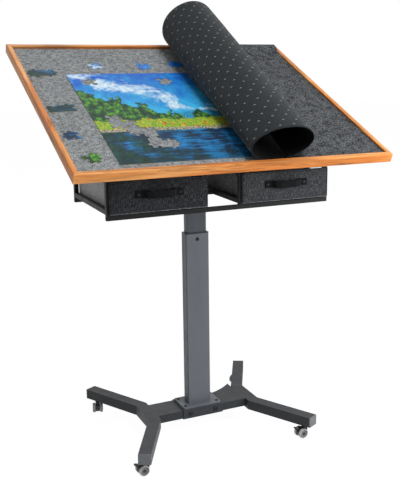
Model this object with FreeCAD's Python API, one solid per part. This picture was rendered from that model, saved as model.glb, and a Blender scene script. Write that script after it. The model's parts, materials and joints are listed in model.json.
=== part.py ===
import FreeCAD, Part
import math
import os

# Jigsaw puzzle table: a tilting felt board with a wooden rim, a rack with two fabric drawers,
# a lifting column and a double-Y foot on four twin-wheel casters.
# Millimetres and degrees. Origin on the floor under the column, X along the board's width,
# Y to the back, Z up. The user sits on the -Y side.

V = FreeCAD.Vector
AXIS_X = V(1, 0, 0)
AXIS_Y = V(0, 1, 0)
AXIS_Z = V(0, 0, 1)

# ---------------------------------------------------------------- driving dimensions
# board
board_width = 900.0
board_depth = 756.0
board_thick = 25.0
rim_width = 15.0
rim_round = 2.5
felt_drop = 8.0               # rim top down to the felt
felt_thick = 2.0
panel_thick = 5.0
groove_depth = 5.0
batten_width = 40.0
batten_spacing = 120.0        # between the two battens' middles

# tilt joint
rest_tilt = 23.0
steepest_tilt = 36.0
pivot_height = 963.0
pivot_drop = 18.0             # pivot below the board's underside
pivot_radius = 6.0
clamp_arm = 60.0              # pivot down to the clamp bolt
clamp_radius = 4.0
bracket_thick = 4.0
bracket_plate = 3.0
bracket_length = 130.0
bracket_width = 170.0
sector_margin = 12.0          # degrees of plate past each end of the arc slot
knob_radius = 22.0
knob_thick = 14.0
knob_lobes = 5

# head on top of the inner tube
head_width = 70.0
head_depth = 50.0
head_plate = 5.0
ear_thick = 6.0
ear_top_radius = 13.0
head_rise = 80.0              # inner tube's top up to the tilt bolt

# release lever and push rod
lever_pivot_back = 16.0       # lever pin in front of the rod
lever_rise = 12.0             # inner tube's top up to the lever
lever_thick = 5.0
lever_width = 12.0
lever_reach = 170.0
lever_drop = 60.0             # lever down to the tip of its grip
lever_flat = 18.0             # level part in front of its pin
lever_bend_reach = 54.0
lever_bend_drop = 32.0
lever_tail = 6.0              # level part behind the rod
lever_pin_radius = 3.0
lever_boss = 5.5
grip_length = 68.0
grip_wall = 4.0
push_rod_radius = 3.0

# column
outer_width = 74.0
outer_depth = 35.0
inner_width = 62.0
inner_depth = 26.0
tube_wall = 2.0
outer_round = 3.5
inner_round = 3.0
outer_top = 610.0
bush_flange = 3.0
top_bush_length = 60.0
lower_bush_length = 50.0
inner_tube_bottom = 245.0
gas_radius = 9.5
gas_wall = 1.3
gas_bottom = 191.0
gas_top = 581.0
gas_rod_radius = 4.0
gas_rod_top = 466.0
piston_length = 12.0
rod_foot_radius = 8.0
rod_foot_height = 14.0
anchor_radius = 4.0

# foot
caster_height = 40.0
leg_height = 30.0
leg_width = 36.0
leg_wall = 2.0
knee_x = 163.5
knee_y = 59.0
splay = 27.5
arm_length = 220.0
sleeve_length = 131.0
sleeve_depth = 93.0
sleeve_wall = 2.5
stub_wall = 2.0
stub_gap = 8.0                # between the two stubs inside the sleeve
sleeve_bolt_x = 41.0
sleeve_bolt_radius = 4.0
flange_thick = 4.0
flange_edge = 4.0             # sleeve edge to flange edge
flange_screw_x = 52.0
flange_screw_y = 30.0
screw_radius = 3.0
cap_thick = 3.0
cap_plug = 10.0
gusset_reach = 78.0           # along the stub
gusset_rise = 46.0            # along the leg

# casters
stem_inset = 28.0
wheel_radius = 15.0
wheel_width = 9.0
wheel_gap = 0.8               # between the housing and each wheel
tread_edge = 1.5
hub_share = 0.66              # hub cover's radius over the wheel's
hub_dish = 1.2
hub_skin = 1.0                # closed hub over the axle's end
web_thick = 12.0
web_radius = 12.5
trail = 12.0
stem_radius = 4.0
stem_thread = 12.0            # thread's reach above the leg's underside
stem_nut = 6.0                # nut's height
journal_length = 13.0         # stem's length inside the housing
collar_thick = 3.0
boss_radius = 8.5
boss_clearance = 0.8          # wheels' top up to the boss
axle_radius = 2.0
brake_pin_radius = 1.5
brake_pin_reach = 6.0         # brake's pin past the axle
brake_lug_radius = 4.5
brake_neck_radius = 3.6
brake_pad_length = 10.0
brake_pad_half_width = 8.0
brake_pad_thick = 4.0
brake_slot_share = 0.22       # half the slot over the housing's thickness
brake_reach = 36.0
brake_up = 18.0               # degrees the released pedal points up

# rack
rack_width = 660.0
rack_depth = 312.0
rack_front = -203.0
rack_drop = 58.0              # inner tube's top down to the rack's top
rack_height = 113.0
rack_tube = 12.0
rack_wall = 1.2
bay_gap = 95.0
side_rail_rise = 15.0         # rack's bottom up to the side rails
side_rail_height = 13.0
runner_thick = 1.5
runner_width = 14.0
socket_wall = 3.0
bridge_depth = 70.0
bridge_thick = 5.0
socket_bolt_radius = 4.0

# drawers
drawer_side_clearance = 2.0
drawer_lift = 0.3             # drawer bottom above the runner
drawer_wall = 4.0
drawer_round = 2.0
drawer_side_drop = 24.0       # rack's top down to the drawer's sides
drawer_front_drop = 15.0
drawer_front_gap = 0.5        # between the front panel and the post it covers
drawer_front_reveal = 1.0     # front panel's edge inside the rack's outer edge
drawer_post_show = 6.5        # left post's width that the front leaves bare
drawer_back_gap = 3.0
base_board_thick = 3.0
handle_length = 134.0
handle_height = 20.0
handle_rise = 16.0
handle_thick = 2.5
handle_drop = 34.0            # front's top down to the strap's middle
rivet_radius = 2.0
rivet_head = 4.5

# cover mat: a flat part on the felt and one loose turn
mat_thick = 3.0
mat_end_gap = 3.0
mat_right_gap = 2.0
roll_from_puzzle = 34.0       # puzzle's right edge to the roll's middle, at the front
roll_skew = 19.0              # how much further right the roll lies at the back
roll_front_half_width = 89.0
roll_front_half_height = 59.0
roll_front_end = -64.0        # degrees, where the free edge lies on the front section
roll_back_half_width = 92.0
roll_back_half_height = 82.0
roll_back_end = -38.0

# puzzle
piece_thick = 2.0
piece_width = 37.0
piece_height = 36.7
piece_columns = 10
piece_rows = 14
puzzle_left_margin = 126.0    # from the board's left edge
puzzle_front = 42.0           # from the board's front edge
knob_size = 5.2               # radius of a piece's tab
knob_neck = 3.4               # tab centre past the piece's side

# clearances
slide_clearance = 0.1
bush_clearance = 0.15
shaft_clearance = 0.05
bolt_clearance = 0.3
rod_clearance = 0.1
seat_gap = 0.2

# ---------------------------------------------------------------- worked-out places
deg = math.radians
leg_top = caster_height + leg_height
stub_top = leg_top
sleeve_top = stub_top + seat_gap + sleeve_wall
stub_height = leg_height - 2.0 * sleeve_wall + 0.4
stub_bottom = stub_top - stub_height
sleeve_bottom = stub_bottom - seat_gap - sleeve_wall
flange_top = sleeve_top + flange_thick
bush_top = outer_top + bush_flange
head_base_height = pivot_height - head_rise
head_top = head_base_height + head_plate
lever_height = head_base_height + lever_rise
lever_tip_height = lever_height - lever_drop
lever_bend = (-lever_pivot_back - lever_bend_reach, lever_height - lever_bend_drop)
clamp_height = pivot_height - clamp_arm
pivot_forward = (pivot_drop + board_thick / 2.0) * math.tan(deg(rest_tilt))
rack_top = head_base_height - rack_drop
rack_bottom = rack_top - rack_height
rack_back = rack_front + rack_depth
side_rail_low = rack_bottom + side_rail_rise
drawer_side_top = rack_top - drawer_side_drop
drawer_front_top = rack_top - drawer_front_drop
handle_centre = drawer_front_top - handle_drop
rack_rail_top = rack_bottom + rack_tube
rack_upper = rack_top - rack_tube
drawer_bottom = side_rail_low - 2.0 + runner_thick + drawer_lift
panel_under = pivot_drop + board_thick - felt_drop - felt_thick - panel_thick
felt_height = pivot_drop + board_thick - felt_drop
board_front_y = pivot_forward - board_depth / 2.0
board_back_y = pivot_forward + board_depth / 2.0
puzzle_left = puzzle_left_margin - board_width / 2.0
puzzle_back = puzzle_front + piece_rows * piece_height
roll_front_x = puzzle_left + piece_columns * piece_width + roll_from_puzzle
roll_back_x = roll_front_x + roll_skew
head_ear_inner = head_width / 2.0 - ear_thick
sector_inner = head_width / 2.0 + bolt_clearance
sector_outer = sector_inner + bracket_thick


# ---------------------------------------------------------------- shape helpers
def save(name, *solids):
    """Write one sub-part; several solids share the node as a group."""
    shape = solids[0] if len(solids) == 1 else Part.makeCompound(list(solids))
    shape.exportStep("parts/" + name + ".step")


def block(x0, x1, y0, y1, z0, z1):
    """A box between two corners."""
    return Part.makeBox(x1 - x0, y1 - y0, z1 - z0, V(x0, y0, z0))


def rod(radius, start, axis, length):
    """A round bar from start along axis."""
    return Part.makeCylinder(radius, length, start, axis)


def hexagon(flats, start, axis, length):
    """A hexagonal bar along X, Y or Z."""
    radius = flats / math.sqrt(3.0)
    turn = FreeCAD.Rotation(AXIS_Z, axis)
    corners = [turn.multVec(V(radius * math.cos(deg(60 * i)), radius * math.sin(deg(60 * i)), 0)) + start
               for i in range(7)]
    return Part.Face(Part.makePolygon(corners)).extrude(axis * length)


def rounded(shape, radius, axis):
    """Fillet the straight edges that run along axis."""
    edges = [e for e in shape.Edges
             if len(e.Vertexes) == 2 and e.Curve.TypeId == "Part::GeomLine"
             and abs(abs(e.tangentAt(e.FirstParameter).dot(axis)) - 1.0) < 1e-6]
    return shape.makeFillet(radius, edges)


def column_tube(width, depth, wall, radius, z0, z1):
    """An upright rectangular tube with round corners."""
    outer = rounded(block(-width / 2, width / 2, -depth / 2, depth / 2, z0, z1), radius, AXIS_Z)
    w, d = width - 2 * wall, depth - 2 * wall
    bore = rounded(block(-w / 2, w / 2, -d / 2, d / 2, z0 - 1, z1 + 1), max(radius - wall, 0.5), AXIS_Z)
    return outer.cut(bore)


def square_tube(x0, x1, y0, y1, z0, z1, wall, axis):
    """A straight tube along axis, open at its ends."""
    grow = {"x": (1, -wall, -wall), "y": (-wall, 1, -wall), "z": (-wall, -wall, 1)}[axis]
    bore = block(x0 - grow[0], x1 + grow[0], y0 - grow[1], y1 + grow[1], z0 - grow[2], z1 + grow[2])
    return block(x0, x1, y0, y1, z0, z1).cut(bore)


def strip_outline(points, thick):
    """The closed mitred outline of a flat bar bent along a list of 2-D points."""
    left, right = [], []
    for i, (px, py) in enumerate(points):
        before = points[max(i - 1, 0)]
        after = points[min(i + 1, len(points) - 1)]
        d0 = _unit(px - before[0], py - before[1]) if i else None
        d1 = _unit(after[0] - px, after[1] - py) if i < len(points) - 1 else None
        d0, d1 = d0 or d1, d1 or d0
        nx, ny = -(d0[1] + d1[1]), d0[0] + d1[0]
        scale = thick / (nx * -d0[1] + ny * d0[0]) / 2.0
        left.append((px + nx * scale, py + ny * scale))
        right.append((px - nx * scale, py - ny * scale))
    return left + right[::-1]


def _unit(x, y):
    size = math.hypot(x, y)
    return x / size, y / size


def plate(outline, place, direction):
    """Extrude a closed 2-D outline; place maps its points to 3-D."""
    corners = [place(a, b) for a, b in outline]
    return Part.Face(Part.makePolygon(corners + corners[:1])).extrude(direction)


def on_board(shape):
    """Take a piece from the flat board's frame, whose origin is the pivot, to its place at rest."""
    shape = shape.copy()
    shape.rotate(V(0, 0, 0), AXIS_X, rest_tilt)
    shape.translate(V(0, 0, pivot_height))
    return shape


# ---------------------------------------------------------------- foot
def leg_path(side):
    """Plan points of one bent leg, from its front tip to its back tip."""
    dx, dy = arm_length * math.sin(deg(splay)), arm_length * math.cos(deg(splay))
    return [(side * (knee_x + dx), -knee_y - dy), (side * knee_x, -knee_y),
            (side * knee_x, knee_y), (side * (knee_x + dx), knee_y + dy)]


def arm_point(side, end, inset):
    """A plan point on an arm's middle line, inset from its tip."""
    reach = arm_length - inset
    return (side * (knee_x + reach * math.sin(deg(splay))), end * (knee_y + reach * math.cos(deg(splay))))


def make_leg(side):
    """A leg mitred from three lengths of rectangular tube, with the sockets' holes below."""
    def at(z):
        return lambda a, b: V(a, b, z)
    shape = plate(strip_outline(leg_path(side), leg_width), at(caster_height), V(0, 0, leg_height))
    path = leg_path(side)
    longer = [arm_point(side, -1, -5.0)] + path[1:3] + [arm_point(side, 1, -5.0)]
    bore = plate(strip_outline(longer, leg_width - 2 * leg_wall), at(caster_height + leg_wall),
                 V(0, 0, leg_height - 2 * leg_wall))
    shape = shape.cut(bore)
    for end in (-1, 1):
        x, y = arm_point(side, end, stem_inset)
        shape = shape.cut(rod(stem_radius + seat_gap, V(x, y, caster_height - 1), AXIS_Z, leg_wall + 2))
    return shape


def make_stub(side):
    """The beam welded to a leg, which reaches into the sleeve."""
    half = stub_depth() / 2
    x0, x1 = sorted((side * stub_gap / 2, side * (knee_x - leg_width / 2)))
    beam = square_tube(x0, x1, -half, half, stub_bottom, stub_top, stub_wall, "x")
    for hole in through_bolts(sleeve_bolt_radius + bolt_clearance):
        beam = beam.cut(hole)
    return beam


def make_gusset():
    """Corner plate between the right stub's back and the leg, with a dished long edge."""
    x1 = knee_x - leg_width / 2
    y0 = stub_depth() / 2
    z0, z1 = stub_bottom, stub_top - 1.0
    a, b, c = V(x1 - gusset_reach, y0, z0), V(x1, y0, z0), V(x1, y0 + gusset_rise, z0)
    middle = (a + c) * 0.5 + V(3.0, -4.0, 0)
    edge = Part.Arc(c, middle, a).toShape()
    wire = Part.Wire([Part.makeLine(a, b), Part.makeLine(b, c), edge])
    return Part.Face(wire).extrude(V(0, 0, z1 - z0))


def stub_depth():
    return sleeve_depth - 2 * sleeve_wall - 2 * seat_gap


def bolt_places():
    return [(-sleeve_bolt_x, 0.0), (sleeve_bolt_x, 0.0)]


def through_bolts(radius):
    height = (sleeve_bottom + sleeve_top) / 2
    return [rod(radius, V(x, -sleeve_depth, height), AXIS_Y, 2 * sleeve_depth) for x, _ in bolt_places()]


def flange_screw_places():
    return [(sx * flange_screw_x, sy * flange_screw_y) for sx in (-1, 1) for sy in (-1, 1)]


def make_sleeve():
    """Rectangular sleeve round the stubs, drilled for the bolts and the flange's screws."""
    length, depth = sleeve_length / 2, sleeve_depth / 2
    shape = rounded(block(-length, length, -depth, depth, sleeve_bottom, sleeve_top), 2.0, AXIS_X)
    shape = shape.cut(block(-length - 1, length + 1, -depth + sleeve_wall, depth - sleeve_wall,
                            sleeve_bottom + sleeve_wall, sleeve_top - sleeve_wall))
    for hole in through_bolts(sleeve_bolt_radius + bolt_clearance):
        shape = shape.cut(hole)
    for x, y in flange_screw_places():
        shape = shape.cut(rod(screw_radius, V(x, y, sleeve_top - sleeve_wall - 1), AXIS_Z, sleeve_wall + 2))
    return shape


def make_sleeve_bolts():
    """Through bolts with domed heads in front and nuts behind."""
    out = []
    height = (sleeve_bottom + sleeve_top) / 2
    front = -sleeve_depth / 2
    head = 4.5
    nut = 6.5
    for x, _ in bolt_places():
        shank = rod(sleeve_bolt_radius, V(x, front, height), AXIS_Y, sleeve_depth + nut + 2)
        dome = Part.makeCone(2.0 * sleeve_bolt_radius, 1.2 * sleeve_bolt_radius, head,
                             V(x, front, height), -AXIS_Y)
        socket = hexagon(5.0, V(x, front - head - 1, height), AXIS_Y, 3.5)
        out.append(shank.fuse(dome.cut(socket)))
        nut_shape = hexagon(13.0, V(x, -front, height), AXIS_Y, nut)
        out.append(nut_shape.cut(rod(sleeve_bolt_radius, V(x, -front - 1, height), AXIS_Y, nut + 2)))
    return out


def make_flange():
    """Foot plate welded under the column."""
    half_x, half_y = sleeve_length / 2 - flange_edge, sleeve_depth / 2 - flange_edge
    shape = rounded(block(-half_x, half_x, -half_y, half_y, sleeve_top, flange_top), 5.0, AXIS_Z)
    for x, y in flange_screw_places():
        shape = shape.cut(rod(screw_radius + seat_gap, V(x, y, sleeve_top - 1), AXIS_Z, flange_thick + 2))
    return shape


def button_screw(start, axis, length):
    """A button-head screw; start is under its head."""
    shank = rod(screw_radius, start, axis, length)
    head = Part.makeCone(1.9 * screw_radius, 1.1 * screw_radius, 0.9 * screw_radius, start, -axis)
    socket = hexagon(1.3 * screw_radius, start - axis * (1.0 + 0.9 * screw_radius), axis, 2.4)
    return shank.fuse(head.cut(socket))


def make_base_screws():
    """Flange screws, and the two that hold the upper bush in the outer tube."""
    down = -AXIS_Z
    out = [button_screw(V(x, y, flange_top), down, flange_thick + sleeve_wall)
           for x, y in flange_screw_places()]
    for side in (-1, 1):
        start = V(0, side * outer_depth / 2, outer_top - bush_screw_drop())
        out.append(button_screw(start, AXIS_Y * -side, tube_wall + 1.8))
    return out


def bush_screw_drop():
    return top_bush_length * 0.27


def make_end_caps():
    """Ribbed plastic plugs in the four open arm ends."""
    out = []
    for side in (-1, 1):
        for end in (-1, 1):
            tip = arm_point(side, end, 0.0)
            way = V(side * math.sin(deg(splay)), end * math.cos(deg(splay)), 0)
            across = V(-way.y, way.x, 0)
            size_w, size_h = leg_width - 2 * leg_wall - 2 * seat_gap, leg_height - 2 * leg_wall - 2 * seat_gap

            def slab(width, height, start, length):
                base = V(tip[0], tip[1], caster_height + leg_height / 2) + way * start
                corner = [base + across * (sx * width / 2) + V(0, 0, sz * height / 2)
                          for sx, sz in ((-1, -1), (1, -1), (1, 1), (-1, 1), (-1, -1))]
                return Part.Face(Part.makePolygon(corner)).extrude(way * length)
            cover = slab(leg_width, leg_height, 0.0, cap_thick)
            plug = slab(size_w, size_h, -cap_plug, cap_plug)
            pocket = slab(size_w - 5, size_h - 5, -cap_plug - 1, cap_plug)
            out.append(cover.fuse(plug.cut(pocket)))
    return out


# ---------------------------------------------------------------- column
def make_outer_tube():
    shape = column_tube(outer_width, outer_depth, tube_wall, outer_round, flange_top, outer_top)
    for side in (-1, 1):
        start = V(0, side * (outer_depth / 2 + 1), outer_top - bush_screw_drop())
        shape = shape.cut(rod(screw_radius + seat_gap / 2, start, AXIS_Y * -side, tube_wall + 2))
    return shape


def make_top_bush():
    """Guide bush in the outer tube's mouth, with a lip over the tube's end."""
    bore_w, bore_d = inner_width + 2 * slide_clearance, inner_depth + 2 * slide_clearance
    w, d = outer_width - 2 * tube_wall - 2 * bush_clearance, outer_depth - 2 * tube_wall - 2 * bush_clearance
    radius = max(outer_round - tube_wall, 0.5)
    lip = rounded(block(-outer_width / 2, outer_width / 2, -outer_depth / 2, outer_depth / 2,
                        outer_top, bush_top), outer_round, AXIS_Z)
    low = outer_top - top_bush_length
    body = rounded(block(-w / 2, w / 2, -d / 2, d / 2, low, outer_top), radius, AXIS_Z)
    bore = rounded(block(-bore_w / 2, bore_w / 2, -bore_d / 2, bore_d / 2,
                         low - 1, bush_top + 1), inner_round + slide_clearance, AXIS_Z)
    shape = lip.fuse(body).cut(bore)
    for side in (-1, 1):
        start = V(0, side * outer_depth, outer_top - bush_screw_drop())
        shape = shape.cut(rod(screw_radius, start, AXIS_Y * -side, outer_depth - inner_depth / 2))
    return shape


def make_lower_bush():
    """Guide bush on the inner tube's lower end; the gas spring passes through its floor."""
    w = outer_width - 2 * tube_wall - 2 * slide_clearance
    d = outer_depth - 2 * tube_wall - 2 * slide_clearance
    floor = 4.0
    low = inner_tube_bottom - floor
    body = rounded(block(-w / 2, w / 2, -d / 2, d / 2, low, low + lower_bush_length),
                   max(outer_round - tube_wall, 0.5), AXIS_Z)
    bore = rounded(block(-inner_width / 2, inner_width / 2, -inner_depth / 2, inner_depth / 2,
                         inner_tube_bottom, low + lower_bush_length + 1), inner_round, AXIS_Z)
    return body.cut(bore).cut(rod(gas_radius + seat_gap, V(0, 0, low - 1), AXIS_Z, floor + 2))


def anchor_height():
    return gas_top + 2.0 * anchor_radius


def make_inner_tube():
    """Sliding tube, cross-drilled for the gas spring's pin and for the rack's bolts."""
    shape = column_tube(inner_width, inner_depth, tube_wall, inner_round, inner_tube_bottom, head_base_height)
    shape = shape.cut(rod(anchor_radius, V(0, -inner_depth, anchor_height()), AXIS_Y, 2 * inner_depth))
    for x, z in socket_bolt_places():
        shape = shape.cut(rod(socket_bolt_radius + seat_gap, V(x, -inner_depth, z), AXIS_Y, 2 * inner_depth))
    return shape


def make_gas_cylinder():
    """Locking gas spring: cylinder, gland below and a drilled end fitting above."""
    gland = 15.0
    top = 8.0
    fitting = 4.0 * anchor_radius
    shape = rod(gas_radius, V(0, 0, gas_bottom), AXIS_Z, gas_top - gas_bottom)
    bore = rod(gas_radius - gas_wall, V(0, 0, gas_bottom + gland), AXIS_Z, gas_top - gas_bottom - gland - top)
    mouth = rod(gas_rod_radius + rod_clearance, V(0, 0, gas_bottom - 1), AXIS_Z, gland + 2)
    shape = shape.cut(bore).cut(mouth)
    shape = shape.fuse(rod(gas_radius - 1.5, V(0, 0, gas_top), AXIS_Z, fitting))
    pin_bore = rod(anchor_radius, V(0, -gas_radius, anchor_height()), AXIS_Y, 2 * gas_radius)
    release = rod(release_radius() + rod_clearance,
                  V(0, 0, anchor_height() + anchor_radius + 1.0), AXIS_Z, fitting)
    return shape.cut(pin_bore).cut(release)


def release_radius():
    return push_rod_radius * 0.6


def make_gas_rod():
    """Piston rod with its foot on the column's flange."""
    z0 = flange_top
    foot = rod(rod_foot_radius, V(0, 0, z0), AXIS_Z, rod_foot_height)
    foot = foot.fuse(hexagon(2.2 * rod_foot_radius, V(0, 0, z0), AXIS_Z, 4.0))
    shank = rod(gas_rod_radius, V(0, 0, z0), AXIS_Z, gas_rod_top - z0)
    piston = rod(gas_radius - gas_wall - 2 * rod_clearance,
                 V(0, 0, gas_rod_top - piston_length), AXIS_Z, piston_length)
    return foot.fuse(shank).fuse(piston)


def make_push_rod():
    """Release rod from the lever down to the gas spring, with its thin pin end."""
    top = lever_height - lever_thick / 2 - seat_gap - rod_clearance
    pin_top = gas_top + 4.0 * anchor_radius + 4.0
    pin_low = anchor_height() + anchor_radius + 4.0
    pin = rod(release_radius(), V(0, 0, pin_low), AXIS_Z, pin_top - pin_low)
    return pin.fuse(rod(push_rod_radius, V(0, 0, pin_top), AXIS_Z, top - pin_top))


# ---------------------------------------------------------------- head and tilt joint
def make_head():
    """Clevis on the inner tube: base plate and two round-topped ears."""
    base = block(-head_width / 2, head_width / 2, -head_depth / 2, head_depth / 2, head_base_height, head_top)
    shape = rounded(base, 3.0, AXIS_Z)
    for side in (-1, 1):
        x = side * head_width / 2 if side < 0 else head_ear_inner
        low = (head_depth / 2 - 2.0, head_top)
        r = ear_top_radius
        wire = Part.Wire([
            Part.makeLine(V(x, -low[0], low[1]), V(x, low[0], low[1])),
            Part.makeLine(V(x, low[0], low[1]), V(x, r, pivot_height)),
            Part.Arc(V(x, r, pivot_height), V(x, 0, pivot_height + r), V(x, -r, pivot_height)).toShape(),
            Part.makeLine(V(x, -r, pivot_height), V(x, -low[0], low[1]))])
        shape = shape.fuse(Part.Face(wire).extrude(V(ear_thick, 0, 0)))
    span = 2 * head_width
    shape = shape.cut(rod(pivot_radius, V(-head_width, 0, pivot_height), AXIS_X, span))
    shape = shape.cut(rod(clamp_radius, V(-head_width, 0, clamp_height), AXIS_X, span))
    shape = shape.cut(rod(lever_pin_radius, V(-head_width, -lever_pivot_back, lever_height), AXIS_X, span))
    return shape.cut(rod(push_rod_radius + rod_clearance, V(0, 0, head_base_height - 1),
                         AXIS_Z, head_plate + 2))


def cross_bolt(radius, height, right_end):
    """A bolt through the head along X: hex head on the left, plain end on the right."""
    left = -sector_outer - seat_gap
    head = 0.75 * 2 * radius
    shank = rod(radius, V(left, 0, height), AXIS_X, right_end - left)
    return shank.fuse(hexagon(3.2 * radius, V(left - head, 0, height), AXIS_X, head))


def make_pivot_bolt():
    nut = 8.0
    right = sector_outer + seat_gap
    shape = cross_bolt(pivot_radius, pivot_height, right + nut + 2)
    return shape.fuse(hexagon(3.2 * pivot_radius, V(right, 0, pivot_height), AXIS_X, nut))


def make_clamp_knob():
    """Lobed hand knob on the clamp bolt's right end."""
    start = sector_outer + seat_gap
    hub = rod(knob_radius * 0.45, V(start, 0, clamp_height), AXIS_X, knob_thick * 0.5)
    body_x = start + knob_thick * 0.5
    body = rod(knob_radius * 0.72, V(body_x, 0, clamp_height), AXIS_X, knob_thick)
    for i in range(knob_lobes):
        a = deg(90 + 360.0 * i / knob_lobes)
        lobe = V(body_x, knob_radius * 0.72 * math.cos(a), clamp_height + knob_radius * 0.72 * math.sin(a))
        body = body.fuse(rod(knob_radius * 0.28, lobe, AXIS_X, knob_thick))
    shape = hub.fuse(body)
    return shape.cut(rod(clamp_radius + rod_clearance, V(start - 1, 0, clamp_height),
                         AXIS_X, knob_thick * 1.5 - 3.0))


def knob_bolt_end():
    return sector_outer + seat_gap + knob_thick * 1.5 - 5.0


def make_lever():
    """Bent flat lever: its short end lies over the push rod, its long end reaches forward."""
    y0 = -lever_pivot_back
    points = [(lever_tail, lever_height), (y0 - lever_flat, lever_height), lever_bend,
              (-lever_reach, lever_tip_height)]
    shape = plate(strip_outline(points, lever_thick),
                  lambda a, b: V(-lever_width / 2, a, b), V(lever_width, 0, 0))
    shape = shape.fuse(rod(lever_boss, V(-lever_width / 2, y0, lever_height), AXIS_X, lever_width))
    return shape.cut(rod(lever_pin_radius + shaft_clearance, V(-lever_width, y0, lever_height),
                         AXIS_X, 2 * lever_width))


def make_grip():
    """Plastic sleeve on the lever's long end."""
    way = _unit(-lever_reach - lever_bend[0], lever_tip_height - lever_bend[1])
    end = (-lever_reach + way[0] * 3.0, lever_tip_height + way[1] * 3.0)
    start = (end[0] - way[0] * grip_length, end[1] - way[1] * grip_length)
    half = lever_width / 2 + grip_wall
    body = plate(strip_outline([start, end], lever_thick + 2 * grip_wall),
                 lambda a, b: V(-half, a, b), V(2 * half, 0, 0))
    body = rounded(body, 3.0, AXIS_X)
    return body.cut(make_lever_blank())


def make_lever_blank():
    return plate(strip_outline([lever_bend, (-lever_reach, lever_tip_height)], lever_thick),
                 lambda a, b: V(-lever_width / 2, a, b), V(lever_width, 0, 0))


def arc_slot(x, radius, half, a0, a1, length):
    """A curved slot about the pivot, in the flat board's frame."""
    def at(r, a):
        return V(x, r * math.cos(deg(a)), r * math.sin(deg(a)))
    middle = (a0 + a1) / 2
    ends = []
    for a, out in ((a1, 1), (a0, -1)):
        tip = at(radius, a) + V(0, -math.sin(deg(a)), math.cos(deg(a))) * (out * half)
        pair = (radius + half, radius - half) if out > 0 else (radius - half, radius + half)
        ends.append(Part.Arc(at(pair[0], a), tip, at(pair[1], a)).toShape())
    outer = Part.Arc(at(radius + half, a0), at(radius + half, middle), at(radius + half, a1)).toShape()
    inner = Part.Arc(at(radius - half, a1), at(radius - half, middle), at(radius - half, a0)).toShape()
    return Part.Face(Part.Wire([outer, ends[0], inner, ends[1]])).extrude(V(length, 0, 0))


def make_tilt_bracket():
    """Plate under the battens with two sector ears, slotted for the clamp bolt."""
    half_w, half_l = bracket_width / 2, bracket_length / 2
    top = pivot_drop
    shape = rounded(block(-half_w, half_w, -half_l, half_l, top - bracket_plate, top), 6.0, AXIS_Z)
    a0, a1 = -90.0 - steepest_tilt, -90.0
    outer = clamp_arm + 3.0 * clamp_radius
    start, end = deg(a0 - sector_margin), deg(a1 + sector_margin)
    middle = (start + end) / 2
    low = top - bracket_plate
    for side in (-1, 1):
        x = -sector_outer if side < 0 else sector_inner
        p0 = V(x, outer * math.cos(start), outer * math.sin(start))
        p1 = V(x, outer * math.cos(middle), outer * math.sin(middle))
        p2 = V(x, outer * math.cos(end), outer * math.sin(end))
        left, right = V(x, p0.y - 6.0, low), V(x, pivot_radius * 4.5, low)
        wire = Part.Wire([Part.Arc(p0, p1, p2).toShape(), Part.makeLine(p2, right),
                          Part.makeLine(right, left), Part.makeLine(left, p0)])
        ear = Part.Face(wire).extrude(V(bracket_thick, 0, 0))
        ear = ear.cut(arc_slot(x - 1, clamp_arm, clamp_radius + bolt_clearance, a0, a1, bracket_thick + 2))
        ear = ear.cut(rod(pivot_radius + shaft_clearance, V(x - 1, 0, 0), AXIS_X, bracket_thick + 2))
        shape = shape.fuse(ear)
    for x, y in bracket_screw_places():
        shape = shape.cut(rod(screw_radius - 0.8, V(x, y, low - 1), AXIS_Z, bracket_plate + 2))
    return shape


def bracket_screw_places():
    return [(sx * batten_spacing / 2, sy * (bracket_length / 2 - 15.0)) for sx in (-1, 1) for sy in (-1, 1)]


def make_bracket_screws():
    out = []
    low = pivot_drop - bracket_plate
    for x, y in bracket_screw_places():
        radius = screw_radius - 0.8
        shank = rod(radius, V(x, y, low), AXIS_Z, bracket_plate + 8.0)
        out.append(on_board(shank.fuse(Part.makeCone(2 * radius, radius, radius, V(x, y, low), -AXIS_Z))))
    return out


# ---------------------------------------------------------------- board
def rim_profile(z0, start):
    """Section of a rim rail: rounded top, and a groove for the panel on its inner side."""
    top = z0 + board_thick
    g0, g1 = panel_under, panel_under + panel_thick + seat_gap
    r = rim_round
    inner = rim_width

    def at(p, z):
        return V(start, p, z)
    deep = inner - groove_depth
    lines = [(at(0, z0), at(0, top - r)), (at(r, top), at(inner - r, top)),
             (at(inner, top - r), at(inner, g1)), (at(inner, g1), at(deep, g1)),
             (at(deep, g1), at(deep, g0)), (at(deep, g0), at(inner, g0)),
             (at(inner, g0), at(inner, z0)), (at(inner, z0), at(0, z0))]
    edges = [Part.makeLine(a, b) for a, b in lines]
    k = r * (1 - math.sqrt(0.5))
    edges.append(Part.Arc(at(0, top - r), at(k, top - k), at(r, top)).toShape())
    edges.append(Part.Arc(at(inner - r, top), at(inner - k, top - k), at(inner, top - r)).toShape())
    return Part.Face(Part.Wire(Part.__sortEdges__(edges)))


def make_rim_rail(length):
    """One mitred rail along X, its outer face at y = 0 and its inner side towards +Y."""
    bar = rim_profile(pivot_drop, -length / 2).extrude(V(length, 0, 0))
    half = length / 2
    mitre = [(-half, 0.0), (half, 0.0), (half - rim_width, rim_width), (-half + rim_width, rim_width)]
    return bar.common(plate(mitre, lambda a, b: V(a, b, pivot_drop - 1), V(0, 0, board_thick + 2)))


def make_rim():
    """Two long and two side rails, in the flat board's frame."""
    places = {"rim_long_rails": (board_width, [(0, V(0, board_front_y, 0)), (180, V(0, board_back_y, 0))]),
              "rim_side_rails": (board_depth, [(90, V(board_width / 2, pivot_forward, 0)),
                                               (270, V(-board_width / 2, pivot_forward, 0))])}
    out = {}
    for name, (length, turns) in places.items():
        out[name] = []
        for turn, place in turns:
            rail = make_rim_rail(length)
            rail.rotate(V(0, 0, 0), AXIS_Z, turn)
            rail.translate(place)
            out[name].append(rail)
    return out


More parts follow.
